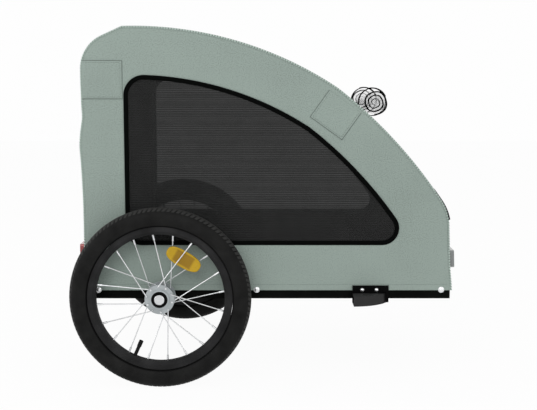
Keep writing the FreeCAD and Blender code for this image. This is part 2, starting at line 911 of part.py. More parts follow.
def arc_centre_of(name, start, end, radius):
    """Keep the centre of a clockwise arc between two corners of the cover."""
    run = end[0] - start[0]
    rise = end[1] - start[1]
    chord = keep(f"{name}_chord", root(run * run + rise * rise))
    depth = keep(f"{name}_depth", root(radius * radius - chord * chord / 4))
    x = keep(f"{name}_centre_x", (start[0] + end[0]) / 2 + rise / chord * depth)
    z = keep(f"{name}_centre_z", (start[1] + end[1]) / 2 - run / chord * depth)
    return x, z


roof_kink = (-size("roof_kink_back"), size("roof_kink_height"))
slope_kink = (size("slope_kink_ahead"), size("slope_kink_height"))
knee_top = (size("knee_top_ahead"), size("knee_top_height"))
roof_centre = arc_centre_of("roof", roof_kink, slope_kink, size("roof_radius"))
slope_centre = arc_centre_of("slope", slope_kink, knee_top, size("slope_radius"))
window_roof_radius = keep("window_roof_radius", size("roof_radius") - size("window_margin"))
window_slope_radius = keep("window_slope_radius", size("slope_radius") - size("window_margin"))


def reach_beside(radius, offset):
    """The other leg of a right triangle."""
    return root(radius * radius - offset * offset)


top_corner = size("window_top_corner")
front_corner = size("window_front_corner")
rear_corner = size("window_rear_corner")
top_corner_x = keep("top_corner_x", top_corner - size("window_back"))
top_corner_z = keep("top_corner_z", roof_centre[1] + reach_beside(
    window_roof_radius - top_corner, top_corner_x - roof_centre[0]))
front_corner_z = keep("front_corner_z", size("window_sill_height") + front_corner)
front_corner_x = keep("front_corner_x", slope_centre[0] + reach_beside(
    window_slope_radius - front_corner, front_corner_z - slope_centre[1]))
centres_run = keep("centres_run", slope_centre[0] - roof_centre[0])
centres_rise = keep("centres_rise", slope_centre[1] - roof_centre[1])
centres_gap = keep("centres_gap", root(centres_run * centres_run + centres_rise * centres_rise))


def window_outline(name, inset):
    """The side window's outline, moved in by inset from the outer edge of its binding."""
    left = inset - size("window_back")
    sill = size("window_sill_height") + inset
    roof = keep(f"{name}_roof", window_roof_radius - inset)
    slope = keep(f"{name}_slope", window_slope_radius - inset)
    along = keep(f"{name}_along", (roof * roof - slope * slope + centres_gap * centres_gap) / (centres_gap * 2))
    across = keep(f"{name}_across", reach_beside(roof, along))
    kink_x = roof_centre[0] + (along * centres_run + across * centres_rise) / centres_gap
    kink_z = roof_centre[1] + (along * centres_rise - across * centres_run) / centres_gap
    top_share = (top_corner - inset) / (window_roof_radius - top_corner)
    front_share = (front_corner - inset) / (window_slope_radius - front_corner)
    return [
        (left, size("window_sill_height") + rear_corner),
        (left, top_corner_z, keep(f"{name}_top", top_corner - inset), 1),
        (top_corner_x + (top_corner_x - roof_centre[0]) * top_share,
         top_corner_z + (top_corner_z - roof_centre[1]) * top_share, roof, 1),
        (keep(f"{name}_kink_x", kink_x), keep(f"{name}_kink_z", kink_z), slope, 1),
        (front_corner_x + (front_corner_x - slope_centre[0]) * front_share,
         front_corner_z + (front_corner_z - slope_centre[1]) * front_share,
         keep(f"{name}_front", front_corner - inset), 1),
        (front_corner_x, sill),
        (rear_corner - size("window_back"), sill, keep(f"{name}_rear", rear_corner - inset), 1),
    ]


def make_side_panels():
    half_binding = size("binding_width") / 2
    hole = window_outline("panel_hole", half_binding)
    sheet_body = plate("SidePanel", cloth, cloth - side_y, cover_outline(size("hem_height")), hole)
    axle_hole = rod(axle_tube_radius + seat_gap, cloth + overrun * 2,
                    axle_x, -side_y - overrun, axle_z, ALONG_Y)
    holes = [bolt_hole(ahead, cloth + overrun * 2) for ahead in COVER_BOLTS + BRACKET_BOLTS]
    pair(cut(sheet_body, fuse(axle_hole, *holes)), "side_panel")
    mesh = window_outline("mesh_edge", half_binding + seat_gap)
    pair(plate("WindowMesh", size("mesh_thickness"), size("mesh_thickness") - side_y, mesh), "window_mesh")
    outer = window_outline("binding_outer", nothing)
    inner = window_outline("binding_inner", size("binding_width"))
    pair(plate("WindowBinding", size("binding_thickness"), -side_y, outer, inner), "window_binding")


def make_cover():
    rear = rear_x.number
    top = float(size("roof_kink_height")) + float(size("roof_radius"))
    spare = float(overrun)
    gap = float(seat_gap)
    thickness = float(cloth)
    half = float(side_y) - thickness - gap
    hem = float(size("hem_height"))
    seam_x = axle_x.number + float(size("slope_kink_ahead"))
    nose = axle_x.number + float(size("front_overhang")) + spare
    rear_top = float(size("rear_straight_height"))
    strip = cover_strip(0, -thickness, half)

    door_half = float(size("rear_door_width")) / 2
    opening = block(rear - spare, rear + thickness + spare, door_half,
                    float(size("rear_door_foot_height")), float(size("rear_door_top_height")))
    rear_wall = block(rear - spare, rear + thickness + spare, half, hem, rear_top - gap)
    solid(strip.common(rear_wall).cut(opening), "rear_panel")
    below_roof = block(rear - spare, rear + thickness + spare, half, hem, rear_top)
    solid(strip.common(block(rear - spare, seam_x - gap, half, hem, top)).cut(below_roof), "roof_panel")

    door_top = axle_x.number + float(size("front_door_top_ahead"))
    door_foot = float(size("front_door_foot_height"))
    door_half = float(size("front_door_width")) / 2
    opening = block(door_top, nose, door_half, door_foot, top)
    solid(strip.common(block(seam_x, nose, half, hem, top)).cut(opening), "front_panel")

    edge = float(size("front_door_gap"))
    width = float(size("binding_width"))
    door = block(door_top + edge, nose, door_half - edge, door_foot + edge, top)
    inside = block(door_top + edge + width, nose, door_half - edge - width, door_foot + edge + width, top)
    mesh = cover_strip(0, -float(size("mesh_thickness")), half)
    solid(mesh.common(door), "front_mesh")
    band = cover_strip(float(size("binding_thickness")), 0, half)
    solid(band.common(door).cut(inside), "front_mesh_binding")


def make_patches():
    """Sewn patches over the rear post and over the front crossbar's end."""
    thickness = size("patch_thickness")
    rear_start = rear_x + cloth + size("patch_margin")
    rear_end = axle_x - size("window_back") - size("patch_margin")
    rear_patch = box(rear_end - rear_start, thickness, size("rear_patch_height"),
                     rear_start, -side_y - thickness, size("rear_patch_foot_height"))
    tilt = size("slope_kink_angle")
    drop = size("front_patch_drop") + size("front_patch_depth")
    back = size("front_patch_length") / 2 - size("front_patch_ahead")
    front_patch = box(size("front_patch_length"), thickness, size("front_patch_depth"),
                      axle_x + slope_kink[0] - drop * sine(tilt) - back * cosine(tilt),
                      -side_y - thickness,
                      slope_kink[1] - drop * cosine(tilt) + back * sine(tilt))
    front_patch.Placement.Rotation = Rotation(Vector(0, 1, 0), tilt.number)
    pair(group(rear_patch, front_patch), "sewn_patches")


# Crossbars lie under the two kinks of the roof
chamfer_run = size("chamfer_start_back") - size("roof_kink_back")
chamfer_rise = size("roof_kink_height") - size("chamfer_start_height")
chamfer_length = root(chamfer_run * chamfer_run + chamfer_rise * chamfer_rise)
rear_bar = (axle_x - size("roof_kink_back"), size("roof_kink_height") - hoop_inset * chamfer_length / chamfer_run)
front_bar = (axle_x + slope_kink[0] - hoop_inset * sine(size("slope_kink_angle")),
             slope_kink[1] - hoop_inset * cosine(size("slope_kink_angle")))
foot_z = keep("foot_z", rail_top + size("foot_thickness"))


def make_crossbars():
    plugs = []
    plug_radius = hoop_bore_radius - seat_gap
    peg_length = seat_gap + size("peg_length")
    for label, (x, z) in (("rear_crossbar", rear_bar), ("front_crossbar", front_bar)):
        outside = rod(hoop_radius, crossbar_half * 2, x, -crossbar_half, z, ALONG_Y)
        bore = rod(hoop_bore_radius, crossbar_half * 2, x, -crossbar_half, z, ALONG_Y)
        node(cut(outside, bore), label)
        core = rod(plug_radius, size("plug_length"), x, -crossbar_half, z, ALONG_Y)
        peg = rod(size("peg_diameter") / 2, peg_length + size("plug_length"), x,
                  -crossbar_half - peg_length, z, ALONG_Y)
        plug = fuse(core, peg)
        plugs += [plug, mirror(plug)]
    node(group(*plugs), "crossbar_plugs")


def tube_along(edge, radius, bore_radius):
    """A stretch of round tube along a straight or bent edge."""
    start = edge.valueAt(edge.FirstParameter)
    way = edge.tangentAt(edge.FirstParameter)
    discs = [Part.Face(Part.Wire(Part.makeCircle(reach, start, way))) for reach in (radius, bore_radius)]
    ring = discs[0].cut(discs[1]).Faces[0]
    if edge.Curve.TypeId == "Part::GeomLine":
        return ring.extrude(way * edge.Length)
    turn = math.degrees(edge.LastParameter - edge.FirstParameter)
    return ring.revolve(edge.Curve.Center, edge.Curve.Axis, turn)


def right_of(way):
    return Vector(way.y, -way.x, 0)


def flat(corner):
    return Vector(float(corner[0]), float(corner[1]), 0)


def line_bend(point, way, inside, radius, centre, reach):
    """Centre of a bend between a straight that runs along way and a circle about centre."""
    start = point + inside * radius - centre
    along = start.dot(way)
    return centre + start + way * (math.sqrt(along * along - start.dot(start) + reach * reach) - along)


def circle_bend(first, first_reach, second, second_reach):
    """Where two circles meet, on the outer side of the cover."""
    gap = second - first
    along = (first_reach ** 2 - second_reach ** 2 + gap.Length ** 2) / (2 * gap.Length)
    way = Vector(gap).normalize()
    return first + way * along + right_of(way) * math.sqrt(first_reach ** 2 - along ** 2)


def hoop_path(inset, foot):
    """The hoop's centre line: two legs, the chamfer, the roof and the slope, joined by tangent bends."""
    bend = float(size("hoop_bend"))
    corner_bend = float(size("corner_radius")) - inset
    knee_bend = float(size("knee_radius")) - inset
    roof, roof_reach = flat(roof_centre), float(size("roof_radius")) - inset
    slope, slope_reach = flat(slope_centre), float(size("slope_radius")) - inset
    rear_way = Vector(0, 1, 0)
    chamfer_start = Vector(-float(size("chamfer_start_back")), float(size("chamfer_start_height")), 0)
    chamfer_way = (flat(roof_kink) - chamfer_start).normalize()
    knee_foot = Vector(float(size("knee_foot_ahead")), float(size("knee_foot_height")), 0)
    front_way = Vector(front_lean.number, -front_drop.number, 0).normalize()
    rear_start = Vector(inset - float(size("rear_overhang")), foot, 0)
    chamfer_start = chamfer_start + right_of(chamfer_way) * inset
    knee_foot = knee_foot + right_of(front_way) * inset

    corner_x = rear_start.x + corner_bend
    on_chamfer = chamfer_start + right_of(chamfer_way) * corner_bend
    corner = on_chamfer + chamfer_way * ((corner_x - on_chamfer.x) / chamfer_way.x)
    kink = line_bend(chamfer_start, chamfer_way, right_of(chamfer_way), bend, roof, roof_reach - bend)
    brow = circle_bend(roof, roof_reach - bend, slope, slope_reach - bend)
    knee = line_bend(knee_foot, -front_way, right_of(front_way), knee_bend, slope, slope_reach - knee_bend)

    def outward(centre, bend_centre, reach):
        return centre + Vector(bend_centre - centre).normalize() * reach

    stops = [
        (rear_start, None, 0),
        (corner - right_of(rear_way) * corner_bend, corner, corner_bend),
        (corner - right_of(chamfer_way) * corner_bend, None, 0),
        (kink - right_of(chamfer_way) * bend, kink, bend),
        (outward(roof, kink, roof_reach), roof, roof_reach),
        (outward(roof, brow, roof_reach), brow, bend),
        (outward(slope, brow, slope_reach), slope, slope_reach),
        (outward(slope, knee, slope_reach), knee, knee_bend),
        (knee - right_of(front_way) * knee_bend, None, 0),
        (knee_foot + front_way * ((foot - knee_foot.y) / front_way.y), None, 0),
    ]
    edges = []
    for (start, centre, radius), (end, _, _) in zip(stops, stops[1:]):
        if centre is None:
            edges.append(Part.LineSegment(start, end).toShape())
        else:
            middle = centre + ((start + end) * 0.5 - centre).normalize() * radius
            edges.append(Part.Arc(start, middle, end).toShape())
    return edges


def make_hoops():
    lowest_edge = hoop_radius.number * front_lean.number / front_run.number
    edges = hoop_path(hoop_inset.number, foot_z.number + lowest_edge + float(seat_gap))
    stretches = [tube_along(edge, hoop_radius.number, hoop_bore_radius.number) for edge in edges]
    hoop = stretches[0].multiFuse(stretches[1:])
    hoop.Placement = SIDE_VIEW
    hole = float(size("peg_diameter")) / 2 + float(seat_gap)
    depth = hoop_radius.number + float(overrun)
    for label, inward in (("side_hoop_right", Vector(0, 1, 0)), ("side_hoop_left", Vector(0, -1, 0))):
        holes = [Part.makeCylinder(hole, depth, Vector(x.number, 0, z.number), inward)
                 for x, z in (rear_bar, front_bar)]
        side = hoop.cut(holes)
        side.translate(inward * -hoop_y.number)
        solid(side, label)


def make_hoop_feet():
    length = size("foot_length")
    width = hoop_radius * 2
    rear_post = rear_x + hoop_inset
    front_post = axle_x + front_line(foot_z) - hoop_inset
    feet = []
    for post, start in ((rear_post, rear_post - hoop_radius), (front_post, front_post + hoop_radius - length)):
        base = box(length, width, size("foot_thickness"), start, -hoop_y - hoop_radius, rail_top)
        stub = rod(hoop_bore_radius - size("foot_slack"), size("foot_thickness") + size("foot_stub"),
                   post, -hoop_y, rail_top)
        foot = fuse(base, stub)
        feet += [foot, mirror(foot)]
    node(group(*feet), "hoop_feet")


def make_bolts():
    reach = cloth + seat_gap + size("rail_wall") + size("bolt_reach")
    cover = [bolt(ahead, size("bolt_head_diameter"), size("bolt_head_height"), -side_y, reach)
             for ahead in COVER_BOLTS]
    node(group(*cover, *[mirror(item) for item in cover]), "cover_bolts")
    face = -side_y - size("bracket_plate")
    bracket = [bolt(ahead, size("bracket_bolt_head"), size("bracket_bolt_head_height"), face,
                    reach + size("bracket_plate")) for ahead in BRACKET_BOLTS]
    node(group(*bracket, *[mirror(item) for item in bracket]), "bracket_bolts")


def make_tow_brackets():
    rear = axle_x + size("bracket_rear_ahead")
    wall = size("bracket_plate")
    face = -side_y - wall
    foot = size("bracket_foot_height")
    reach = size("lip_reach")
    length = size("lip_length")
    bow = keep("lip_bow", (length * length + reach * reach) / (reach * 2))
    centre_y = face - reach + bow
    back = box(size("bracket_length"), wall, rail_top - foot, rear, face, foot)
    lip = common(rod(bow, size("lip_height"), rear, centre_y, foot),
                 box(length, reach, size("lip_height"), rear, face - reach, foot))
    hollow = common(rod(bow - wall, size("lip_height") - wall * 2, rear, centre_y, foot + wall),
                    box(length + overrun, reach, size("lip_height") - wall * 2, rear - overrun, face - reach,
                        foot + wall))
    pin_hole = rod(size("tow_pin_bore") / 2, size("lip_height") + overrun * 2, axle_x + size("tow_pin_ahead"),
                   face - size("tow_pin_out"), foot - overrun)
    holes = [rod(size("bolt_shank") / 2 + seat_gap, wall + overrun * 2, axle_x + ahead, face - overrun,
                 size("bolt_height"), ALONG_Y) for ahead in BRACKET_BOLTS]
    pair(cut(fuse(back, cut(lip, hollow)), fuse(pin_hole, *holes)), "tow_bracket")


def rounded(item, radius, way):
    """Round the edges of a block that run along one direction."""
    doc.recompute()
    edges = []
    for index, edge in enumerate(item.Shape.Edges, start=1):
        if abs(edge.tangentAt(edge.FirstParameter).dot(way)) > 1 - Part.Precision.confusion():
            edges.append((index, radius, radius))
    fillet = doc.addObject("Part::Fillet", "Rounded")
    fillet.Base = item
    fillet.Edges = edges
    return fillet


def make_reflectors():
    radius = float(size("reflector_corner"))
    width = size("front_reflector_width")
    front = box(size("reflector_depth"), width, size("front_reflector_height"), axle_x + reflector_seat,
                -(size("front_reflector_spread") / 2) - width / 2, reflector_foot)
    lean = math.degrees(math.atan2(front_lean.number, front_drop.number))
    front.Placement.Rotation = Rotation(Vector(0, 1, 0), -lean)
    front = rounded(front, radius, Vector(math.cos(math.radians(lean)), 0, math.sin(math.radians(lean))))
    node(group(front, mirror(front)), "front_reflectors")
    width = size("rear_reflector_width")
    rear = box(size("reflector_depth"), width, size("rear_reflector_height"),
               rear_x - seat_gap - size("reflector_depth"),
               -(size("rear_reflector_spread") / 2) - width / 2, size("rear_reflector_foot_height"))
    rear = rounded(rear, radius, Vector(1, 0, 0))
    node(group(rear, mirror(rear)), "rear_reflectors")


def make_rear_door():
    gap = size("rear_door_gap")
    width = size("rear_door_width") - gap * 2
    height = size("rear_door_top_height") - size("rear_door_foot_height") - gap * 2
    node(box(cloth, width, height, rear_x, -(width / 2), size("rear_door_foot_height") + gap), "rear_door")

    tape_y = -(size("rear_door_width") / 2) - size("zip_offset") - size("zip_width")
    tape_height = size("rear_door_top_height") - size("rear_door_foot_height")
    tape = box(size("zip_thickness"), size("zip_width"), tape_height,
               rear_x - size("zip_thickness"), tape_y, size("rear_door_foot_height"))
    node(group(tape, mirror(tape)), "rear_zips")

    face = rear_x - size("zip_thickness") - seat_gap
    middle = tape_y + size("zip_width") / 2
    foot = size("rear_door_foot_height") + size("slider_start")
    slider = box(size("slider_depth"), size("slider_width"), size("slider_length"),
                 face - size("slider_depth"), middle - size("slider_width") / 2, foot)
    pull = box(size("pull_thickness"), size("pull_width"), size("pull_length") + size("slider_length") / 2,
               face - size("slider_depth"), middle - size("pull_width") / 2, foot - size("pull_length"))
    pair(fuse(slider, pull), "zip_slider")


roll_turns = int(float(size("roll_turns")))
roll_x = axle_x + size("roll_ahead")
roll_z = keep("roll_z", slope_centre[1] + reach_beside(
    size("slope_radius") + size("roll_radius") + size("strap_thickness") + seat_gap * 2,
    size("roll_ahead") - slope_centre[0]))


def spiral(radius, pitch, shrink):
    """Half-turn arcs of a rolled film that winds inward by one pitch in each turn."""
    arcs = []
    x = radius - shrink
    for half_turn in range(2 * roll_turns):
        side = -1 if half_turn % 2 else 1
        bend = radius - pitch / 4 - half_turn * pitch / 2 - shrink
        end = x - side * 2 * bend
        arcs.append(Part.Arc(Vector(x, 0, 0), Vector(x - side * bend, 0, side * bend), Vector(end, 0, 0)).toShape())
        x = end
    return arcs


def make_roll():
    radius = float(size("roll_radius"))
    pitch = float(size("roll_pitch"))
    outer = spiral(radius, pitch, 0)
    inner = spiral(radius, pitch, float(size("film_thickness")))
    least = min(near.distToShape(far)[0] for near, far in zip(inner, outer[2:]))
    print("rain cover roll: least gap between turns", round(least, 2), "mm")
    ends = [Part.LineSegment(outer[index].Vertexes[index].Point, inner[index].Vertexes[index].Point).toShape()
            for index in (0, -1)]
    face = Part.Face(Part.Wire(Part.__sortEdges__(outer + inner + ends)))
    length = float(size("roll_length"))
    roll = solid(face.extrude(Vector(0, length, 0)), "rain_cover_roll")
    roll.Placement = Placement(Vector(roll_x.number, -length / 2, roll_z.number), Rotation())

    straps = []
    bore_radius = size("roll_radius") + seat_gap
    width = size("strap_width")
    for side in (-1, 1):
        start = size("strap_spacing") / 2 * side - width / 2
        outside = rod(bore_radius + size("strap_thickness"), width, roll_x, start, roll_z, ALONG_Y)
        straps.append(cut(outside, rod(bore_radius, width, roll_x, start, roll_z, ALONG_Y)))
    node(group(*straps), "roll_straps")


for make in (make_rim, make_tyre, make_inner_tube, make_hub, make_bearings, make_spokes, make_wheel_reflector,
             make_axle, make_axle_nut, make_button, make_button_spring, make_side_rails, make_end_rails,
             make_rail_caps, make_axle_tube, make_floor, make_hoops, make_hoop_feet, make_crossbars,
             make_side_panels, make_cover, make_patches, make_bolts, make_tow_brackets, make_reflectors,
             make_rear_door, make_roll):
    make()
doc.recompute()

faults = [item.Label for item in doc.Objects if {"Invalid", "Error"} & set(item.State)]
faults += [item.Label for item in NODES if item.Shape.isNull() or not item.Shape.isValid()]
if faults:
    raise RuntimeError("failed: " + ", ".join(faults))
os.makedirs("parts", exist_ok=True)
for item in NODES:
    item.Shape.exportStep(f"parts/{item.Label}.step")
print(len(NODES), "nodes")
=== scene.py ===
# %% [markdown]
# A dog bike trailer, dressed for its photograph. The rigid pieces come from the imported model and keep
# their places. This lesson adds what solids can't show: cloth that is pulled tight and sewn, mesh that
# lets light through, rubber with tread, and a finish for every surface.

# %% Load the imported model
import json
import math

import bmesh
import bpy
import numpy as np
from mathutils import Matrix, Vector, noise


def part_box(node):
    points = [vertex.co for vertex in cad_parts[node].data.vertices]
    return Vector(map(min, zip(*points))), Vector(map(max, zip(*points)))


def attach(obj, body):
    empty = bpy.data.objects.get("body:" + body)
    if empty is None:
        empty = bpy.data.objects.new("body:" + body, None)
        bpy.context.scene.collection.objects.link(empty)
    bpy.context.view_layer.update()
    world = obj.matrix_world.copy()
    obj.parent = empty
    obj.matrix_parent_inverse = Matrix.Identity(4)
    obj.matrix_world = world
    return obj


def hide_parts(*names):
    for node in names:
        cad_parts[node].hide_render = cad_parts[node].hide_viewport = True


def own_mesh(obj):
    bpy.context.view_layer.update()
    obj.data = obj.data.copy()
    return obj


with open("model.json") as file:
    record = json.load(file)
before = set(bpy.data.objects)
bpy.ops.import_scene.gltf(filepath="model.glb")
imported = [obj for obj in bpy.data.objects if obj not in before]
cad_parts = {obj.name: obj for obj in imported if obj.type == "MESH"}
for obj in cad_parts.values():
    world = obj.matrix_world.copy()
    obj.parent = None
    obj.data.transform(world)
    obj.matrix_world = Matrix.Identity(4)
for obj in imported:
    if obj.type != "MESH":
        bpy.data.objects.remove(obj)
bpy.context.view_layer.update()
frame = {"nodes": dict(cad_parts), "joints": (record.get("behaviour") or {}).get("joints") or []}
joints = {joint["name"]: joint for joint in frame["joints"]}
AXLE_X, right_wheel_y, AXLE_Z = joints["wheel_spin_right"]["pos_m"]
WHEEL_Y = abs(right_wheel_y)
MM = 0.001
SIDES = {"right": -1, "left": 1}

# %% [markdown]
# The photograph is a side view from about two and a half metres, taken at roof height and tipped down
# seven degrees. The camera's place was fitted to both wheels, so the near and the far one land where the
# photograph has them. A long lens keeps the far side almost as large as the near one.

# %% Camera
CAMERA_AHEAD, CAMERA_AWAY, CAMERA_HIGH, CAMERA_TILT = 0.2375, 2.522, 0.6731, 83.05
camera = bpy.data.objects.new("Camera", bpy.data.cameras.new("Camera"))
bpy.context.collection.objects.link(camera)
camera.data.sensor_width = 36
camera.data.lens = 68.29
camera.location = (AXLE_X + CAMERA_AHEAD, -CAMERA_AWAY, CAMERA_HIGH)
camera.rotation_euler = (math.radians(CAMERA_TILT), 0, 0)
bpy.context.scene.camera = camera
print("camera", tuple(round(c, 3) for c in camera.location))

# %% [markdown]
# The studio is white and almost shadowless, so most of the light comes from the whole sky. A Light Path
# node gives the camera, and what it sees in metal or clear film, a pure white sky, while the light that
# falls on the cloth is set on its own.

# %% White sky
scene = bpy.context.scene
scene.view_settings.view_transform = "Standard"
world = bpy.data.worlds.new("Studio")
scene.world = world
world.use_nodes = True
sky = world.node_tree.nodes
sky_light = sky["Background"]
sky_light.inputs["Color"].default_value = (1, 1, 1, 1)
sky_light.inputs["Strength"].default_value = 0.56
white_sky = sky.new("ShaderNodeBackground")
white_sky.inputs["Color"].default_value = (0.99, 0.99, 0.99, 1)


def seen_rays(tree):
    """1 for rays from the camera, from metal or through clear film, and 0 for the others."""
    rays = tree.nodes.new("ShaderNodeLightPath")
    result = rays.outputs["Is Camera Ray"]
    for other in ("Is Glossy Ray", "Is Transmission Ray"):
        either = tree.nodes.new("ShaderNodeMath")
        either.operation = "MAXIMUM"
        tree.links.new(result, either.inputs[0])
        tree.links.new(rays.outputs[other], either.inputs[1])
        result = either.outputs[0]
    return result


sky_choice = sky.new("ShaderNodeMixShader")
join = world.node_tree.links.new
join(seen_rays(world.node_tree), sky_choice.inputs["Fac"])
join(sky_light.outputs[0], sky_choice.inputs[1])
join(white_sky.outputs[0], sky_choice.inputs[2])
join(sky_choice.outputs[0], sky["World Output"].inputs["Surface"])
print("sky light", sky_light.inputs["Strength"].default_value)

# %% [markdown]
# One large soft lamp in front and two weaker ones from the trailer's front and back give the cloth its
# slight roundness. A small lamp would draw hard shadows, and sun light would come from one side alone. Area
# lamps as wide as the trailer is long are soft, and each is turned to face the same spot in its middle.

# %% Lamps
LIT_SPOT = Vector((0, 0, 0.4))


def soft_lamp(name, place, width, watts):
    lamp = bpy.data.lights.new(name, "AREA")
    lamp.shape = "SQUARE"
    lamp.size = width
    lamp.energy = watts
    item = bpy.data.objects.new(name, lamp)
    item.location = place
    item.rotation_euler = (LIT_SPOT - Vector(place)).to_track_quat("-Z", "Y").to_euler()
    bpy.context.collection.objects.link(item)


soft_lamp("KeyLamp", (-0.9, -3.4, 2.6), 2.4, 52)
soft_lamp("FrontLamp", (2.6, -1.8, 1.6), 2.0, 15)
soft_lamp("BackLamp", (-3.0, -0.5, 1.2), 1.6, 16)

# %% [markdown]
# The floor is a plain pale sheet. Plain lit paper would come out grey, and more light on it would also fall
# on the trailer. So part of what the camera sees of it is a white glow, and the rest is lit paper: it reads
# as white and still takes a soft shadow under the wheels.

# %% Floor
FLOOR_HALF, GLOW_SHARE = 9, 0.955
floor_mesh = bpy.data.meshes.new("Floor")
floor_corners = [(x * FLOOR_HALF, y * FLOOR_HALF, 0) for x, y in ((-1, -1), (1, -1), (1, 1), (-1, 1))]
floor_mesh.from_pydata(floor_corners, [], [(0, 1, 2, 3)])
floor = bpy.data.objects.new("Floor", floor_mesh)
bpy.context.collection.objects.link(floor)
paper = bpy.data.materials.new("FloorPaper")
paper.use_nodes = True
paper_nodes = paper.node_tree.nodes
paper_shader = paper_nodes["Principled BSDF"]
paper_shader.inputs["Base Color"].default_value = (0.92, 0.92, 0.92, 1)
paper_shader.inputs["Roughness"].default_value = 0.9
glow_share = paper_nodes.new("ShaderNodeMath")
glow_share.operation = "MULTIPLY"
glow_share.inputs[1].default_value = GLOW_SHARE
glow = paper_nodes.new("ShaderNodeEmission")
floor_choice = paper_nodes.new("ShaderNodeMixShader")
join = paper.node_tree.links.new
join(seen_rays(paper.node_tree), glow_share.inputs[0])
join(glow_share.outputs[0], floor_choice.inputs["Fac"])
join(paper_shader.outputs[0], floor_choice.inputs[1])
join(glow.outputs[0], floor_choice.inputs[2])
join(floor_choice.outputs[0], paper_nodes["Material Output"].inputs["Surface"])
floor_mesh.materials.append(paper)
print("floor", 2 * FLOOR_HALF, "m wide")

# %% [markdown]
# Each finish is a small tree of nodes: a base colour that varies a little over the surface, a roughness,
# and a bump that carries the fine structure. A class keeps each recipe short. Patterns on cloth run in
# the cloth's own flat coordinates, in metres, which are stored as UVs when a sheet is made.


# %% Helpers for finishes
class Finish:
    """A material with its shader and short ways of adding nodes to it."""

    def __init__(self, name, colour, roughness, settings=()):
        self.material = bpy.data.materials.new(name)
        self.material.use_nodes = True
        self.tree = self.material.node_tree
        self.shader = self.tree.nodes["Principled BSDF"]
        self.shader.inputs["Base Color"].default_value = (*colour, 1)
        self.shader.inputs["Roughness"].default_value = roughness
        for socket, value in dict(settings).items():
            self.shader.inputs[socket].default_value = value

    def add(self, kind, inputs=(), **values):
        node = self.tree.nodes.new(kind)
        for name, value in values.items():
            setattr(node, name, value)
        for socket, value in dict(inputs).items():
            node.inputs[socket].default_value = value
        return node

    def feed(self, socket, output):
        self.tree.links.new(output, self.shader.inputs[socket])

    def where(self, cloth):
        return self.add("ShaderNodeTexCoord").outputs["UV" if cloth else "Object"]

    def place(self, axis, cloth=True):
        """One coordinate of a point on the surface, in metres."""
        split = self.add("ShaderNodeSeparateXYZ")
        self.tree.links.new(self.where(cloth), split.inputs[0])
        return split.outputs[axis]

    def ribs(self, direction, period, cloth=True):
        """Smooth ribs across one direction, with their period in metres."""
        wave = self.add("ShaderNodeTexWave", {"Scale": math.tau / 20 / period}, bands_direction=direction)
        self.tree.links.new(self.where(cloth), wave.inputs["Vector"])
        return wave.outputs["Fac"]

    def cloud(self, scale, detail=3, cloth=False):
        texture = self.add("ShaderNodeTexNoise", {"Scale": scale, "Detail": detail})
        self.tree.links.new(self.where(cloth), texture.inputs["Vector"])
        return texture.outputs["Fac"]

    def maths(self, operation, *values):
        node = self.add("ShaderNodeMath", operation=operation)
        for value, socket in zip(values, node.inputs):
            if isinstance(value, (int, float)):
                socket.default_value = value
            else:
                self.tree.links.new(value, socket)
        return node.outputs[0]

    def vary(self, factor, low, high, start=0.25, end=0.75):
        """Base colour that runs between two colours."""
        ramp = self.add("ShaderNodeValToRGB")
        for element, colour, place in zip(ramp.color_ramp.elements, (low, high), (start, end)):
            element.color = (*colour, 1)
            element.position = place
        self.tree.links.new(factor, ramp.inputs["Fac"])
        self.feed("Base Color", ramp.outputs["Color"])

    def rough(self, factor, low, high):
        span = self.add("ShaderNodeMapRange", {"To Min": low, "To Max": high})
        self.tree.links.new(factor, span.inputs["Value"])
        self.feed("Roughness", span.outputs["Result"])

    def bump(self, height, distance, strength=0.5):
        node = self.add("ShaderNodeBump", {"Distance": distance, "Strength": strength})
        self.tree.links.new(height, node.inputs["Height"])
        self.feed("Normal", node.outputs["Normal"])


def shade(colour, factor):
    return tuple(channel * factor for channel in colour)


def grey(level):
    return level, level, level


print("finish helpers ready")

# %% [markdown]
# The cover is a dense woven polyester in grey green. Close up it is a plain weave of thick and thin
# threads, and from a step away it shows as a faint grain. Two crossed sets of ribs make the weave, a slow
# cloud shifts the colour as dyed cloth does, and a little sheen lifts it at grazing angles. The inside
# has a black coating, and the edges are bound with ribbed black tape.

# %% Cloth finishes
SAGE = (0.285, 0.345, 0.312)
THREAD_WIDTH, PIPING_RHYTHM = 2.6 * MM, 6 * MM


def woven(name, colour, thread_width=THREAD_WIDTH):
    cloth = Finish(name, colour, 0.88,
                   {"Sheen Weight": 0.15, "Sheen Roughness": 0.45, "Specular IOR Level": 0.25})
    weave = cloth.maths("MAXIMUM", cloth.ribs("X", thread_width), cloth.ribs("Y", thread_width * 0.9))
    slub = cloth.cloud(420, 2, cloth=True)
    grain = cloth.maths("MULTIPLY_ADD", weave, 0.3, slub)
    tone = cloth.maths("MULTIPLY_ADD", cloth.cloud(3.5), 0.5, grain)
    cloth.vary(tone, shade(colour, 0.62), shade(colour, 1.09), 0.6, 1.3)
    cloth.bump(cloth.maths("MULTIPLY_ADD", slub, 0.6, weave), 0.35 * MM, 0.6)
    return cloth


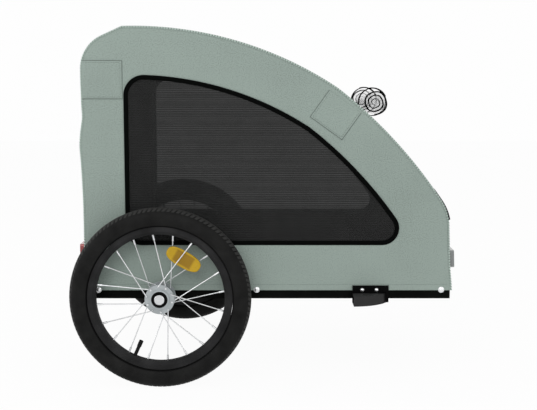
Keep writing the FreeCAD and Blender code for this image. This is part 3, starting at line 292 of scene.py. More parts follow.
sage_cloth = woven("SageCloth", SAGE)
# The piping's colour is painted light: paler sage is a painted highlight on the rounded edge, and darker sage
# every six millimetres is painted shade at the stitches.
sage_piping_painted_light = Finish("SagePipingPaintedLight", SAGE, 0.88, {"Sheen Weight": 0.15, "Specular IOR Level": 0.25})
bite_bumps_and_painted_light = sage_piping_painted_light.ribs("X", PIPING_RHYTHM)
sage_piping_painted_light.vary(bite_bumps_and_painted_light, shade(SAGE, 0.5), shade(SAGE, 1.75), 0.05, 0.35)
sage_piping_painted_light.bump(sage_piping_painted_light.maths("MULTIPLY_ADD", sage_piping_painted_light.cloud(500, 2), 0.4, bite_bumps_and_painted_light), 0.4 * MM)
black_coating = Finish("BlackCoating", (0.009, 0.01, 0.0095), 0.6, {"Specular IOR Level": 0.15})
black_coating.bump(black_coating.cloud(900), 0.2 * MM, 0.4)
black_coating.rough(black_coating.cloud(14), 0.48, 0.66)
black_tape = Finish("BlackTape", (0.0024, 0.0027, 0.0025), 0.8, {"Specular IOR Level": 0.015})
tape_ribs = black_tape.maths("MAXIMUM", black_tape.ribs("X", 1.6 * MM), black_tape.ribs("Y", 3.2 * MM))
black_tape.bump(tape_ribs, 0.3 * MM)
black_tape.rough(black_tape.cloud(40), 0.7, 0.88)
sewing_thread = Finish("SewingThread", shade(SAGE, 0.62), 0.75)
sewing_thread.bump(sewing_thread.ribs("DIAGONAL", 0.6 * MM, cloth=False), 0.1 * MM, 0.8)
sewing_thread.rough(sewing_thread.cloud(300), 0.6, 0.8)
print("cloth finishes", sage_cloth.material.name, black_tape.material.name)

# %% [markdown]
# The windows are black mesh. Its holes are far smaller than a pixel, so the net is made as a sheet that
# lets a steady share of the light through. That share was worked out from the photograph: the dark inside
# against the far window, which has the white studio behind it. Rows of knitting show as faint level lines.

# %% Net finish
NET_COVER, NET_ROWS = 0.785, 0.15
black_net = Finish("BlackNet", (0.022, 0.023, 0.0225), 0.8, {"Specular IOR Level": 0.1})
net_rows = black_net.ribs("Y", 5.2 * MM)
net_columns = black_net.maths("MULTIPLY", black_net.ribs("X", 6.1 * MM), 0.35)
threads = black_net.maths("MAXIMUM", net_rows, net_columns)
black_net.feed("Alpha", black_net.maths("MULTIPLY_ADD", threads, NET_ROWS, NET_COVER))
black_net.vary(black_net.cloud(30), (0.0185, 0.019, 0.0187), (0.023, 0.0235, 0.0232))
black_net.bump(net_rows, 0.2 * MM, 0.1)
print("the net lets through", round(1 - NET_COVER - NET_ROWS, 2), "to", round(1 - NET_COVER, 2))

# %% [markdown]
# The cloth follows outlines that are drawn in the side view, as a pattern maker draws them: chains of
# straight runs and arcs. Each corner is given in millimetres from the axle and the ground, with the radius
# of the arc that leaves it, and how many pieces that run is cut into. A curve object could hold such a line
# too, but plain points are easier to measure and to move.


# %% Helpers for outlines
def arc_centre(start, end, radius):
    start, half = Vector(start), (Vector(end) - Vector(start)) / 2
    inward = Vector((half.y, -half.x)).normalized()
    return start + half + inward * math.sqrt(radius**2 - half.length_squared)


def trace(corners):
    """Points along a chain of corners (x, z, radius, pieces); an arc turns clockwise."""
    points = []
    for (x, z, radius, pieces), (next_x, next_z, *_) in zip(corners, corners[1:]):
        start, end = Vector((x, z)), Vector((next_x, next_z))
        if radius:
            centre = arc_centre(start, end, radius)
            first = math.atan2(*(start - centre).yx)
            sweep = (math.atan2(*(end - centre).yx) - first + math.pi) % math.tau - math.pi
            turns = [first + sweep * step / pieces for step in range(pieces)]
            points += [centre + radius * Vector((math.cos(turn), math.sin(turn))) for turn in turns]
        else:
            points += [start.lerp(end, step / pieces) for step in range(pieces)]
    return np.array([(AXLE_X + p.x * MM, p.y * MM) for p in points + [end]])


def runs_along(line):
    """How far along a line each of its points lies."""
    return np.concatenate(([0], np.cumsum(np.linalg.norm(np.diff(line, axis=0), axis=1))))


print("outline helpers ready")

# %% [markdown]
# One outline rules the rest: the edge of the cover, from the rear hem up over the roof and down the front.
# Its rear seam isn't quite straight, because the cloth stands out by some millimetres between the places
# that hold it. That slack is a short list of heights and depths, smoothed so that it shows no corners.

# %% The cover's edge
REAR, REAR_TOP, FRONT, HEM = -174, 699, 646, 208
ROOF_BACK, KINK, KNEE_TOP, KNEE_FOOT = (-83, 792), (390, 658), (622, 410), (640.5, 353)
ROOF_ROUND, SLOPE_ROUND, KNEE_ROUND = 814, 1050, 110
COVER_EDGE = [(REAR, HEM, 0, 60), (REAR, REAR_TOP, 80, 16), (-127, 772, 0, 8),
              (*ROOF_BACK, ROOF_ROUND, 72), (*KINK, SLOPE_ROUND, 52), (*KNEE_TOP, KNEE_ROUND, 14),
              (*KNEE_FOOT, 0, 22), (FRONT, HEM, 0, 120)]
REAR_SLACK = np.array([(400, 0), (440, 1.1), (472, 2.3), (503, 3.8), (531, 6.2), (567, 2.8), (595, -2.4),
                       (612, -0.3), (655, 0.2), (673, 0.8), (720, 0.5), (772, 0)]) * MM
SLACK_UNTIL = AXLE_X - 126 * MM
slack_heights, bell = np.arange(360, 812, 4) * MM, np.hanning(11)
slack_depths = np.convolve(np.interp(slack_heights, *REAR_SLACK.T), bell / bell.sum(), "same")


def rear_slack(x, z):
    """How far the cloth of the rear seam stands out behind, at some heights."""
    return np.where(x < SLACK_UNTIL, np.interp(z, slack_heights, slack_depths), 0)


def with_slack(edge):
    return np.stack((edge[:, 0] - rear_slack(*edge.T), edge[:, 1]), 1)


over_edge = with_slack(trace(COVER_EDGE))
side_loop = with_slack(trace(COVER_EDGE + COVER_EDGE[:1]))
print("edge of the cover", round(runs_along(over_edge)[-1], 3), "m")

# %% [markdown]
# The side's cloth is tight over the hoop. It lies flat, with faint pulls, and its last few millimetres
# turn in to meet the roof. A function says how far out the cloth lies at any place on the side, so that
# tape, patches and stitches can be laid on the same skin. The turn fades out at the hem, which is bolted
# flat against the rail.

# %% The side's skin
SIDE_Y, HEM_Z, FAINT_PULL = 282 * MM, HEM * MM, 0.8 * MM
EDGE_TURN, TURN_START, TURN_RISE = 9 * MM, 14 * MM, 40 * MM
edge_starts, edge_spans = over_edge[:-1], np.diff(over_edge, axis=0)


def edge_distance(x, z):
    away = np.array((x, z)) - edge_starts
    along = np.clip((away * edge_spans).sum(1) / (edge_spans**2).sum(1), 0, 1)
    return float(np.linalg.norm(away - along[:, None] * edge_spans, axis=1).min())


def turn_depth(z):
    """How far the cloth's edge turns in: nothing at the rail, all of it a little higher."""
    return EDGE_TURN * min(max((z - HEM_Z - TURN_START) / TURN_RISE, 0), 1)


def side_skin(x, z):
    reach = max(1 - edge_distance(x, z) / EDGE_TURN, 0)
    turned = turn_depth(z) * (1 - math.sqrt(1 - reach**2))
    pull = 0.5 + 0.5 * noise.noise(Vector((x * 6, z * 9, 0.3)))
    return SIDE_Y + FAINT_PULL * pull * (1 - reach) - turned


print("skin at the wheel", round(side_skin(AXLE_X + 0.1, 0.27), 4))
print("skin at the roof", round(side_skin(*over_edge[100]), 4))

# %% [markdown]
# The window is one outline that can be drawn further in or out, because the tape, the cut edge of the
# cloth and the net all follow it. Two of its edges are arcs parallel to the roof. The round corners sit
# where both their neighbours are as far away as the corner's radius.

# %% The window's outline
WINDOW_MARGIN, WINDOW_BACK, WINDOW_SILL = 106, -80, 310
TOP_CORNER, FRONT_CORNER, REAR_CORNER = 45, 38, 35
roof_middle = arc_centre(ROOF_BACK, KINK, ROOF_ROUND)
slope_middle = arc_centre(KINK, KNEE_TOP, SLOPE_ROUND)


def window_loop(inset):
    roof, slope = roof_middle, slope_middle
    roof_radius, slope_radius = (r - WINDOW_MARGIN - inset for r in (ROOF_ROUND, SLOPE_ROUND))
    back, sill = WINDOW_BACK + inset, WINDOW_SILL + inset
    top_round, front_round, rear_round = (r - inset for r in (TOP_CORNER, FRONT_CORNER, REAR_CORNER))
    top_x = back + top_round
    top = Vector((top_x, roof.y + math.sqrt((roof_radius - top_round)**2 - (top_x - roof.x)**2)))
    front_z = sill + front_round
    front = Vector((slope.x + math.sqrt((slope_radius - front_round)**2 - (front_z - slope.y)**2), front_z))
    between = roof - slope
    toward = (slope_radius**2 - roof_radius**2 + between.length_squared) / (2 * between.length)
    aside = Vector((between.y, -between.x)).normalized() * math.sqrt(slope_radius**2 - toward**2)
    kink = max((slope + between.normalized() * toward + aside * way for way in (1, -1)), key=lambda p: p.y)
    top_join = roof + (top - roof).normalized() * roof_radius
    front_join = slope + (front - slope).normalized() * slope_radius
    return trace([(back, sill + rear_round, 0, 30), (back, top.y, top_round, 14),
                  (*top_join, roof_radius, 40), (*kink, slope_radius, 36), (*front_join, front_round, 18),
                  (front.x, sill, 0, 60), (back + rear_round, sill, rear_round, 12),
                  (back, sill + rear_round, 0, 1)])[:-1]


window_middle = window_loop(0).mean(0)
print("window", np.ptp(window_loop(0), axis=0).round(3), "m")

# %% [markdown]
# Every sheet here is a grid of points, so one function turns rows of points into a mesh. It keeps the
# flat coordinates as UVs, turns the faces outwards and removes points that no face uses. Two others number
# the faces: one for a grid, which may close into rings, and one for a tube with closed ends.


# %% Helpers for meshes
def make_piece(name, points, faces, flat, finishes, outward=None):
    mesh = bpy.data.meshes.new(name)
    mesh.from_pydata([tuple(p) for p in points], [], faces)
    layer = mesh.uv_layers.new(name="Flat")
    for corner in mesh.loops:
        layer.data[corner.index].uv = flat[corner.vertex_index]
    shape = bmesh.new()
    shape.from_mesh(mesh)
    bmesh.ops.delete(shape, geom=[v for v in shape.verts if not v.link_faces], context="VERTS")
    bmesh.ops.recalc_face_normals(shape, faces=shape.faces)
    if outward and sum((f.normal * f.calc_area() for f in shape.faces), Vector()).dot(outward) < 0:
        bmesh.ops.reverse_faces(shape, faces=shape.faces)
    shape.to_mesh(mesh)
    shape.free()
    mesh.polygons.foreach_set("use_smooth", [True] * len(mesh.polygons))
    for finish in finishes:
        mesh.materials.append(finish.material)
    piece = bpy.data.objects.new(name, mesh)
    bpy.context.collection.objects.link(piece)
    return piece


def grid_faces(rows, columns, closed=False, looped=False, skip=lambda row, column: False):
    """Four-sided faces of a grid. Closed rows are rings, and looped ones come back to the first row."""
    row_count, column_count = rows if looped else rows - 1, columns if closed else columns - 1
    return [(row * columns + column, (row + 1) % rows * columns + column,
             (row + 1) % rows * columns + (column + 1) % columns, row * columns + (column + 1) % columns)
            for row in range(row_count) for column in range(column_count) if not skip(row, column)]


def tube_faces(rings, around, first=0):
    """Faces of a tube of rings with closed ends, for points that are counted from first."""
    ends = [tuple(range(around)), tuple(range((rings - 1) * around, rings * around))]
    faces = grid_faces(rings, around, closed=True) + ends
    return [tuple(first + corner for corner in face) for face in faces]


print("mesh helpers ready")

# %% [markdown]
# Cloth has a thickness and two faces. Modelling both by hand would double the work, so a Solidify modifier
# adds the second face inside the first and gives it the second material. Each piece is then fitted to the
# trailer: it moves with a body, and may stand for solids that it hides.

# %% Helpers for pieces
CLOTH = 1.2 * MM


def thicken(piece, thickness):
    layer = piece.modifiers.new("Thickness", "SOLIDIFY")
    layer.thickness = thickness
    layer.offset = -1
    layer.material_offset = len(piece.data.materials) - 1


def fit(piece, body, slot, *nodes):
    """The piece moves with a body and stands for these solids; slot is not used."""
    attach(piece, body)
    if nodes:
        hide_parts(*nodes)


def surface(piece):
    return sum(face.area for face in piece.data.polygons)


print("piece helpers ready, cloth", CLOTH, "m thick")

# %% [markdown]
# A side panel is a broad frame of cloth round the window. Rays from the window's middle cut both outlines,
# and the cloth is laid along the rays in rings, close together near the edge where it turns in. Rays also
# go exactly to the corners of the hem, or these would be clipped.

# %% Side panels
RAY_COUNT, CUT_INSET = 260, 5
PANEL_SHARES, EDGE_STEPS = [0, 0.12, 0.27, 0.42, 0.57, 0.72, 0.87], [15, 11, 8, 5.5, 3.4, 2, 1, 0.4, 0]


def ray_reach(loop, way):
    """How far a ray from the window's middle goes before it meets the loop."""
    spans, away = np.roll(loop, -1, axis=0) - loop, loop - window_middle
    slant = way[0] * spans[:, 1] - way[1] * spans[:, 0]
    slant[slant == 0] = 1e-12
    reach = (away[:, 0] * spans[:, 1] - away[:, 1] * spans[:, 0]) / slant
    place = (away[:, 0] * way[1] - away[:, 1] * way[0]) / slant
    return reach[(place >= -1e-9) & (place <= 1 + 1e-9) & (reach > 0)].min()


corner_rays = [math.atan2(*(trace([c, c])[0] - window_middle)[::-1]) % math.tau for c in COVER_EDGE]
rays = sorted({round(t, 6) for t in corner_rays + [math.tau * i / RAY_COUNT for i in range(RAY_COUNT)]})
ray_ways = np.array([(math.cos(turn), math.sin(turn)) for turn in rays])
cut_edge = window_loop(CUT_INSET)
inner, outer = (np.array([ray_reach(loop, way) for way in ray_ways]) for loop in (cut_edge, side_loop))
reaches = [inner + (outer - EDGE_STEPS[0] * MM - inner) * share for share in PANEL_SHARES]
reaches += [outer - step * MM for step in EDGE_STEPS]
places = np.concatenate([window_middle + reach[:, None] * ray_ways for reach in reaches])
depths = [side_skin(x, z) for x, z in places]
for side, sign in SIDES.items():
    panel = make_piece(f"SidePanel_{side}", [(x, sign * depth, z) for (x, z), depth in zip(places, depths)],
                       grid_faces(len(reaches), len(rays), closed=True), places,
                       [sage_cloth, black_coating], Vector((0, sign, 0)))
    thicken(panel, CLOTH)
    fit(panel, "frame", "sage_fabric", f"side_panel_{side}")
    print(panel.name, "cloth", round(surface(panel), 3), "m2")

# %% [markdown]
# The net is sewn behind the cut edge of the window, under the tape. It is a sheet of rings that shrink to
# the middle, and it swells out by a millimetre or two, as a stretched net does.

# %% Window nets
NET_SHARES, NET_SWELL, NET_BEHIND = [1, 0.94, 0.85, 0.7, 0.5, 0.3, 0.12, 0.01], 1.2 * MM, 0.9 * MM
count = len(cut_edge)
places = np.concatenate([window_middle + share * (cut_edge - window_middle) for share in NET_SHARES])
depths = np.repeat([SIDE_Y - NET_BEHIND + NET_SWELL * (1 - share**2) for share in NET_SHARES], count)
faces = grid_faces(len(NET_SHARES), count, closed=True) + [tuple(range(len(places) - count, len(places)))]
for side, sign in SIDES.items():
    net = make_piece(f"WindowNet_{side}", [(x, sign * depth, z) for (x, z), depth in zip(places, depths)],
                     faces, places, [black_net], Vector((0, sign, 0)))
    fit(net, "frame", "mesh", f"window_mesh_{side}")
    print(net.name, "net", round(surface(net), 3), "m2")

# %% [markdown]
# Black tape is folded over the raw edge and sewn down, so the window has a flat, slightly crowned band
# round it. The band is seven rings: each is the window's outline a little further in, lifted off the skin.

# %% Window tape
TAPE_RINGS = [(0, 0), (0.5, 0.9), (2, 1.35), (5, 1.5), (8, 1.35), (9.5, 0.9), (10, -0.4)]
for side, sign in SIDES.items():
    points, flat = [], []
    for inset, lift in TAPE_RINGS:
        loop = window_loop(inset)
        runs = runs_along(loop)
        points += [(x, sign * (side_skin(x, z) + lift * MM), z) for x, z in loop]
        flat += [(run, inset * MM) for run in runs]
    band = make_piece(f"WindowTape_{side}", points, grid_faces(len(TAPE_RINGS), len(loop), closed=True), flat,
                      [black_tape], Vector((0, sign, 0)))
    fit(band, "frame", "black_tape", f"window_binding_{side}")
    print(band.name, "tape", round(runs[-1], 3), "m")

# %% [markdown]
# Seams make cloth believable. Piping, cords and turned edges are all tubes, so one helper lays a tube along a
# line of points. It can swell the tube in a steady rhythm, which is what an overlocked edge looks like, and
# taper it along its length. A bevelled curve would be quicker to make, but it can't swell in that way.


# %% Helper for tubes
def lay_tube(name, line, radius, finish, rhythm=0, depth=0, around=8, taper=lambda share: 1):
    line = [Vector(p) for p in line]
    points, flat, run = [], [], 0
    for index, point in enumerate(line):
        ahead = (line[min(index + 1, len(line) - 1)] - line[max(index - 1, 0)]).normalized()
        run += (point - line[index - 1]).length if index else 0
        aside = ahead.cross(Vector((0.31, 0.87, 0.38))).normalized()
        above = ahead.cross(aside)
        swell = radius * taper(index / (len(line) - 1))
        swell *= 1 + depth * math.sin(math.tau * run / rhythm) if rhythm else 1
        for step in range(around):
            turn = math.tau * step / around
            points.append(point + swell * (aside * math.cos(turn) + above * math.sin(turn)))
            flat.append((run, radius * turn))
    return make_piece(name, points, tube_faces(len(line), around), flat, [finish])


print("tube helper ready")

# %% [markdown]
# Each stitch is a small spindle of thread, thick in the middle and thin where it goes into the cloth, with a
# gap to the next. The helper walks along a line in steady steps and lays one at every step. The direction
# that points away from the cloth says which side of the spindle is raised.

# %% Helpers for stitches
STITCH, STITCH_GAP, STITCH_WIDTH = 3.4 * MM, 1.6 * MM, 0.8 * MM
SPINDLE = ((-0.5, 0.35), (-0.2, 1), (0.2, 1), (0.5, 0.35))


def walk(line, step):
    """Points a steady step apart along a line."""
    line, runs = np.array(line), runs_along(line)
    stations = np.arange(step / 2, runs[-1], step)
    return [Vector([np.interp(s, runs, line[:, axis]) for axis in range(3)]) for s in stations]


def lay_stitches(name, lines, outward, finish):
    points, faces = [], []
    for line in lines:
        stations = walk(line, STITCH + STITCH_GAP)
        for index, centre in enumerate(stations):
            other = stations[index + 1] if index + 1 < len(stations) else 2 * centre - stations[index - 1]
            ahead = (other - centre).normalized()
            aside = ahead.cross(outward).normalized()
            faces += tube_faces(len(SPINDLE), 3, len(points))
            for along, width in SPINDLE:
                for way, share in ((aside, 1), (outward, 0.7), (-aside, 1)):
                    reach = STITCH_WIDTH / 2 * width * share
                    points.append(centre + ahead * STITCH * along + way * reach)
    return make_piece(name, points, faces, [(p[0], p[2]) for p in points], [finish])


print("stitches of", STITCH, "m with gaps of", STITCH_GAP, "m")

# %% [markdown]
# A piped seam joins each side to the roof, the front and the back. In the photograph its edge looks
# scalloped, because the thread bites into the cord at every stitch. So the cord is a tube that swells and
# narrows every six millimetres. Its colour is painted light: paler than the cloth as a painted highlight on
# the rounded edge, and darker at every stitch as painted shade. A row of stitches runs beside it, another
# along the hem, and at the knee a black cord lies outside the piping, where the front door closes.

# %% Piped seams and hem stitches
PIPING_RADIUS, PIPING_SWELL, SEAM_TUCK, SEAM_INSET = 1.5 * MM, 0.5, 0.25, 6 * MM
KNEE_CORD, CORD_OUT, CORD_AHEAD, CORD_END = 2.2 * MM, 1.6 * PIPING_RADIUS, 600 * MM, 364 * MM
HEM_ROW, HEM_REAR, HEM_FRONT = HEM_Z + 13 * MM, 6 * MM, 8 * MM


def outward_ways(edge):
    """The direction away from the cover at each point of an edge."""
    ways = np.gradient(edge, axis=0)
    return np.stack((-ways[:, 1], ways[:, 0]), 1) / np.linalg.norm(ways, axis=1)[:, None]


edge_out = outward_ways(over_edge)
for side, sign in SIDES.items():
    seam = []
    for (x, z), (out_x, out_z) in zip(over_edge, edge_out):
        tuck = turn_depth(z) * SEAM_TUCK
        seam.append((x - out_x * tuck, sign * (SIDE_Y - tuck), z - out_z * tuck))
    dense = walk(seam, 1 * MM)
    piping = lay_tube(f"SeamPiping_{side}", dense, PIPING_RADIUS, sage_piping_painted_light, PIPING_RHYTHM, PIPING_SWELL)
    fit(piping, "frame", "sage_fabric")
    knee = [(x + out_x * CORD_OUT, y, z + out_z * CORD_OUT)
            for (x, y, z), (out_x, out_z) in zip(seam, edge_out) if x > AXLE_X + CORD_AHEAD and z > CORD_END]
    knee_cord = lay_tube(f"KneeCord_{side}", walk(knee, 3 * MM), KNEE_CORD, black_tape,
                         taper=lambda share: 0.25 + 0.75 * share**1.5)
    fit(knee_cord, "frame", "black_tape")
    hem_line = [(x, sign * side_skin(x, HEM_ROW), HEM_ROW)
                for x in np.linspace(over_edge[0, 0] + HEM_REAR, over_edge[-1, 0] - HEM_FRONT, 120)]
    beside = over_edge - edge_out * SEAM_INSET
    seam_line = [(x, sign * side_skin(x, z), z) for x, z in beside[4:-8]]
    hem = lay_stitches(f"HemStitches_{side}", [hem_line, seam_line], Vector((0, sign, 0)), sewing_thread)
    fit(hem, "frame", "sage_fabric")
    print(piping.name, "rings", len(dense), hem.name, "faces", len(hem.data.polygons))

# %% [markdown]
# Two patches are sewn on each side, over the rear post and over the end of the front crossbar. A patch is
# given by one corner, its two directions and its size, all in the side view. The front one hangs below the
# kink of the roof and is tilted with the cloth there. Two functions lead from a place on the patch to a
# place on the side's skin.

# %% Where the patches sit
KINK_TILT = math.radians(35.5)
PATCH_AHEAD, PATCH_DOWN, PATCH_LENGTH, PATCH_DEPTH = 30, 15, 86, 72
slope_way = Vector((math.cos(KINK_TILT), -math.sin(KINK_TILT)))
slope_up = Vector((math.sin(KINK_TILT), math.cos(KINK_TILT)))
front_corner = Vector(KINK) - slope_up * (PATCH_DOWN + PATCH_DEPTH)
front_corner += slope_way * (PATCH_AHEAD - PATCH_LENGTH / 2)
PATCHES = {"rear": (Vector((-171.5, 634)), Vector((1, 0)), Vector((0, 1)), 89.5, 83),
           "front": (front_corner, slope_way, slope_up, PATCH_LENGTH, PATCH_DEPTH)}


def on_patch(where, u, v):
    """A place on a patch in the side view, from its shares of the width and the height."""
    corner, across, up, width, height = PATCHES[where]
    return corner + across * (width * u) + up * (height * v)


def on_side(spot, lift, sign):
    x, z = AXLE_X + spot.x * MM, spot.y * MM
    return x, sign * (side_skin(x, z) + lift * MM), z


print("front patch from", [round(c, 1) for c in front_corner], "mm")

# %% [markdown]
# Each patch is a second layer of cloth whose edges are turned under. On three sides a thin tube of darker
# cloth lies along the edge, a painted shade of the turned-under fold. The fourth is caught in the seam. The
# grid of the patch is lifted off the skin by its thickness and falls to the skin in its last few
# millimetres, and stitches run inside its edge.

# %% Sewn patches
SEWN_SIDES = {"rear": [(0, 1), (1, 1), (1, 0), (0, 0)], "front": [(0, 1), (0, 0), (1, 0), (1, 1)]}
PATCH_LIFT, PATCH_STEPS, PATCH_CLOTH = 1.1, 16, 0.8 * MM
EDGE_LIFT, EDGE_RADIUS, STITCH_SHARE = 0.3, 0.8 * MM, 0.9
inner_shares = [0.03 + 0.94 * i / PATCH_STEPS for i in range(1, PATCH_STEPS)]
shares = [0, 0.012, 0.03, *inner_shares, 0.97, 0.988, 1]
spots = [(u, v) for v in shares for u in shares]
lifts = [PATCH_LIFT * min(1, 0.35 + 25 * min(u, v, 1 - u, 1 - v)) for u, v in spots]
# Darker cloth for the thin tubes along the patches' edges: painted shade of the turned-under folds.
seam_shadow = woven("SeamShadow", shade(SAGE, 0.55), 1.2 * MM)
for side, sign in SIDES.items():
    out = Vector((0, sign, 0))
    for where, (*_, width, height) in PATCHES.items():
        places = [on_patch(where, u, v) for u, v in spots]
        patch = make_piece(f"SewnPatch_{where}_{side}",
                           [on_side(place, lift, sign) for place, lift in zip(places, lifts)],
                           grid_faces(len(shares), len(shares)), [place * MM for place in places],
                           [sage_cloth, black_coating], out)
        thicken(patch, PATCH_CLOTH)
        edges = list(zip(SEWN_SIDES[where], SEWN_SIDES[where][1:]))
        border = [on_side(on_patch(where, *spot), EDGE_LIFT, sign)
                  for a, b in edges for spot in np.linspace(a, b, 20)]
        # A thin dark tube along three edges, painted shade of the fold.
        fold_shade_line = lay_tube(f"PatchFoldShade_{where}_{side}", border, EDGE_RADIUS, seam_shadow)
        inside = [[on_side(on_patch(where, *(0.5 + STITCH_SHARE * (spot - 0.5))), PATCH_LIFT, sign)
                   for spot in np.linspace(a, b, 21)] for a, b in edges]
        stitches = lay_stitches(f"PatchStitches_{where}_{side}", inside, out, sewing_thread)
        fit(patch, "frame", "sage_fabric", *([f"sewn_patches_{side}"] if where == "rear" else []))
        fit(fold_shade_line, "frame", "sage_fabric")
        fit(stitches, "frame", "sage_fabric")
        print(patch.name, "cloth", round(surface(patch) * 1e4, 1), "cm2")

# %% [markdown]
# The roof, the front and the back are strips across the trailer whose side view is the cover's edge. The
# roof is tight over the hoops and crossbars and sinks a few millimetres in between, which is what a canopy
# does under its own weight. A strip with a door has a hole: the grid has lines at the hole's edges, and the
# faces inside it are left out.

# %% Helpers for the strips across
ROOF_SINK, CLEAR_Y, SEAM_FADE, BORDER = 4 * MM, 256 * MM, 215 * MM, 5


def lay_strip(name, edge, across, sink=lambda x: 0, skip=lambda row, column: False):
    """A sheet across the trailer; sink says how far it hangs at a place along it."""
    outs, runs = outward_ways(edge), runs_along(edge)
    points, flat = [], []
    for (x, z), (out_x, out_z), run in zip(edge, outs, runs):
        half = SIDE_Y - turn_depth(z)
        for y in across:
            hang = max(1 - (y / CLEAR_Y)**2, 0)
            ripple = 0.3 * noise.noise(Vector((x * 7, y * 7, z * 7)))
            drop = sink(x) * hang * (1 + ripple)
            wide = math.copysign(half, y) if abs(y) == max(across) else y
            beside = max(abs(y) - SEAM_FADE, 0) / (max(across) - SEAM_FADE)
            points.append((x - out_x * drop - rear_slack(x, z) * beside**2, wide, z - out_z * drop))
            flat.append((y, run))
    middle = Vector((outs.mean(0)[0], 0, outs.mean(0)[1]))
    strip = make_piece(name, points, grid_faces(len(edge), len(across), skip=skip), flat,
                       [sage_cloth, black_coating], middle)
    thicken(strip, CLOTH)
    return strip, float(runs[-1])


def between_bars(x):
    start, end = (AXLE_X + bar * MM for bar in (ROOF_BACK[0], KINK[0]))
    return ROOF_SINK * max(math.sin(math.pi * min(max((x - start) / (end - start), 0), 1)), 0)


def across_with_hole(half):
    outer = list(np.linspace(SIDE_Y - EDGE_TURN, half, BORDER + 1))
    return [-y for y in outer] + list(np.linspace(-half, half, 19))[1:-1] + outer[::-1]


def hole(across, first, last):
    """Says which faces of a strip lie in its hole, between two rows and inside the border."""
    return lambda row, column: first <= row < last and BORDER <= column < len(across) - BORDER - 1


print("strip helpers ready")

# %% [markdown]
# The three strips are cut from one roll of cloth. The roof has no hole. In the front one the mesh door
# closes the hole, on the slope and a little way round the knee, and in the back one it is the door that
# the dog goes in by. The corners of these edges are those of the cover's edge, with the doors' ends added.

# %% Roof, front and back
roof_across = list(np.linspace(EDGE_TURN - SIDE_Y, SIDE_Y - EDGE_TURN, 31))
roof, roof_length = lay_strip("RoofCloth", trace(COVER_EDGE[1:5]), roof_across, between_bars)
fit(roof, "frame", "sage_fabric", "roof_panel")

DOOR_TOP_X, DOOR_FOOT_Z, FRONT_HOLE = 402, 372, 237 * MM
SEAM_ROWS, SLOPE_ROWS, KNEE_ROWS = 3, 44, 9
knee_middle = arc_centre(KNEE_TOP, KNEE_FOOT, KNEE_ROUND)


def slope_at(x):
    return x, slope_middle.y + math.sqrt(SLOPE_ROUND**2 - (x - slope_middle.x)**2)


def knee_at(z):
    return knee_middle.x + math.sqrt(KNEE_ROUND**2 - (z - knee_middle.y)**2), z


front_edge = [(*KINK, SLOPE_ROUND, SEAM_ROWS), (*slope_at(DOOR_TOP_X), SLOPE_ROUND, SLOPE_ROWS),
              (*KNEE_TOP, KNEE_ROUND, KNEE_ROWS), (*knee_at(DOOR_FOOT_Z), KNEE_ROUND, 5),
              (*KNEE_FOOT, 0, 22), (FRONT, HEM, 0, 1)]
front_across = across_with_hole(FRONT_HOLE)
front, front_length = lay_strip("FrontCloth", trace(front_edge), front_across,
                                skip=hole(front_across, SEAM_ROWS, SEAM_ROWS + SLOPE_ROWS + KNEE_ROWS))
fit(front, "frame", "sage_fabric", "front_panel")

HOLE_FOOT, HOLE_TOP, REAR_HOLE, FOOT_ROWS, DOOR_ROWS = 240, 640, 200 * MM, 4, 50
rear_edge = [(REAR, HEM, 0, FOOT_ROWS), (REAR, HOLE_FOOT, 0, DOOR_ROWS), (REAR, HOLE_TOP, 0, 8),
             (REAR, REAR_TOP, 0, 1)]
rear_across = across_with_hole(REAR_HOLE)
rear, rear_length = lay_strip("RearCloth", trace(rear_edge), rear_across,
                              skip=hole(rear_across, FOOT_ROWS, FOOT_ROWS + DOOR_ROWS))
fit(rear, "frame", "sage_fabric", "rear_panel")
for strip in (roof, front, rear):
    print(strip.name, "cloth", round(surface(strip), 3), "m2")

# %% [markdown]
# The rear door is a flap of the same cloth, sewn along its top and closed by a zip down each side. It has a
# doubled hem, which stands a little proud except at the top edge, where it would catch as the door swings
# up. It is a plain grid of its own, because it moves with its own body, and it swells out slightly.

# %% Rear door
REAR_X, BACKWARDS = AXLE_X + REAR * MM, Vector((-1, 0, 0))
DOOR_HALF, DOOR_LOW, DOOR_HIGH = 199.4 * MM, 240.6 * MM, 639.4 * MM
HEM_WIDTH, HEM_LIFT, HEM_STITCH = 14 * MM, 0.7 * MM, 11 * MM
DOOR_SWELL, SWELL_MIDDLE, SWELL_REACH = 2.5 * MM, 440 * MM, 200 * MM


def with_hem(low, high, pieces):
    return [low, low + HEM_WIDTH - 1 * MM, *np.linspace(low + HEM_WIDTH, high - HEM_WIDTH, pieces),
            high - HEM_WIDTH + 1 * MM, high]


def rear_door_x(y, z):
    inside = min(DOOR_HALF - abs(y), z - DOOR_LOW, DOOR_HIGH - z)
    hem = HEM_LIFT if inside < HEM_WIDTH - 0.5 * MM and z < DOOR_HIGH else 0
    swell = max(1 - (y / DOOR_HALF)**2, 0) * max(1 - ((z - SWELL_MIDDLE) / SWELL_REACH)**2, 0)
    return REAR_X - hem - DOOR_SWELL * swell


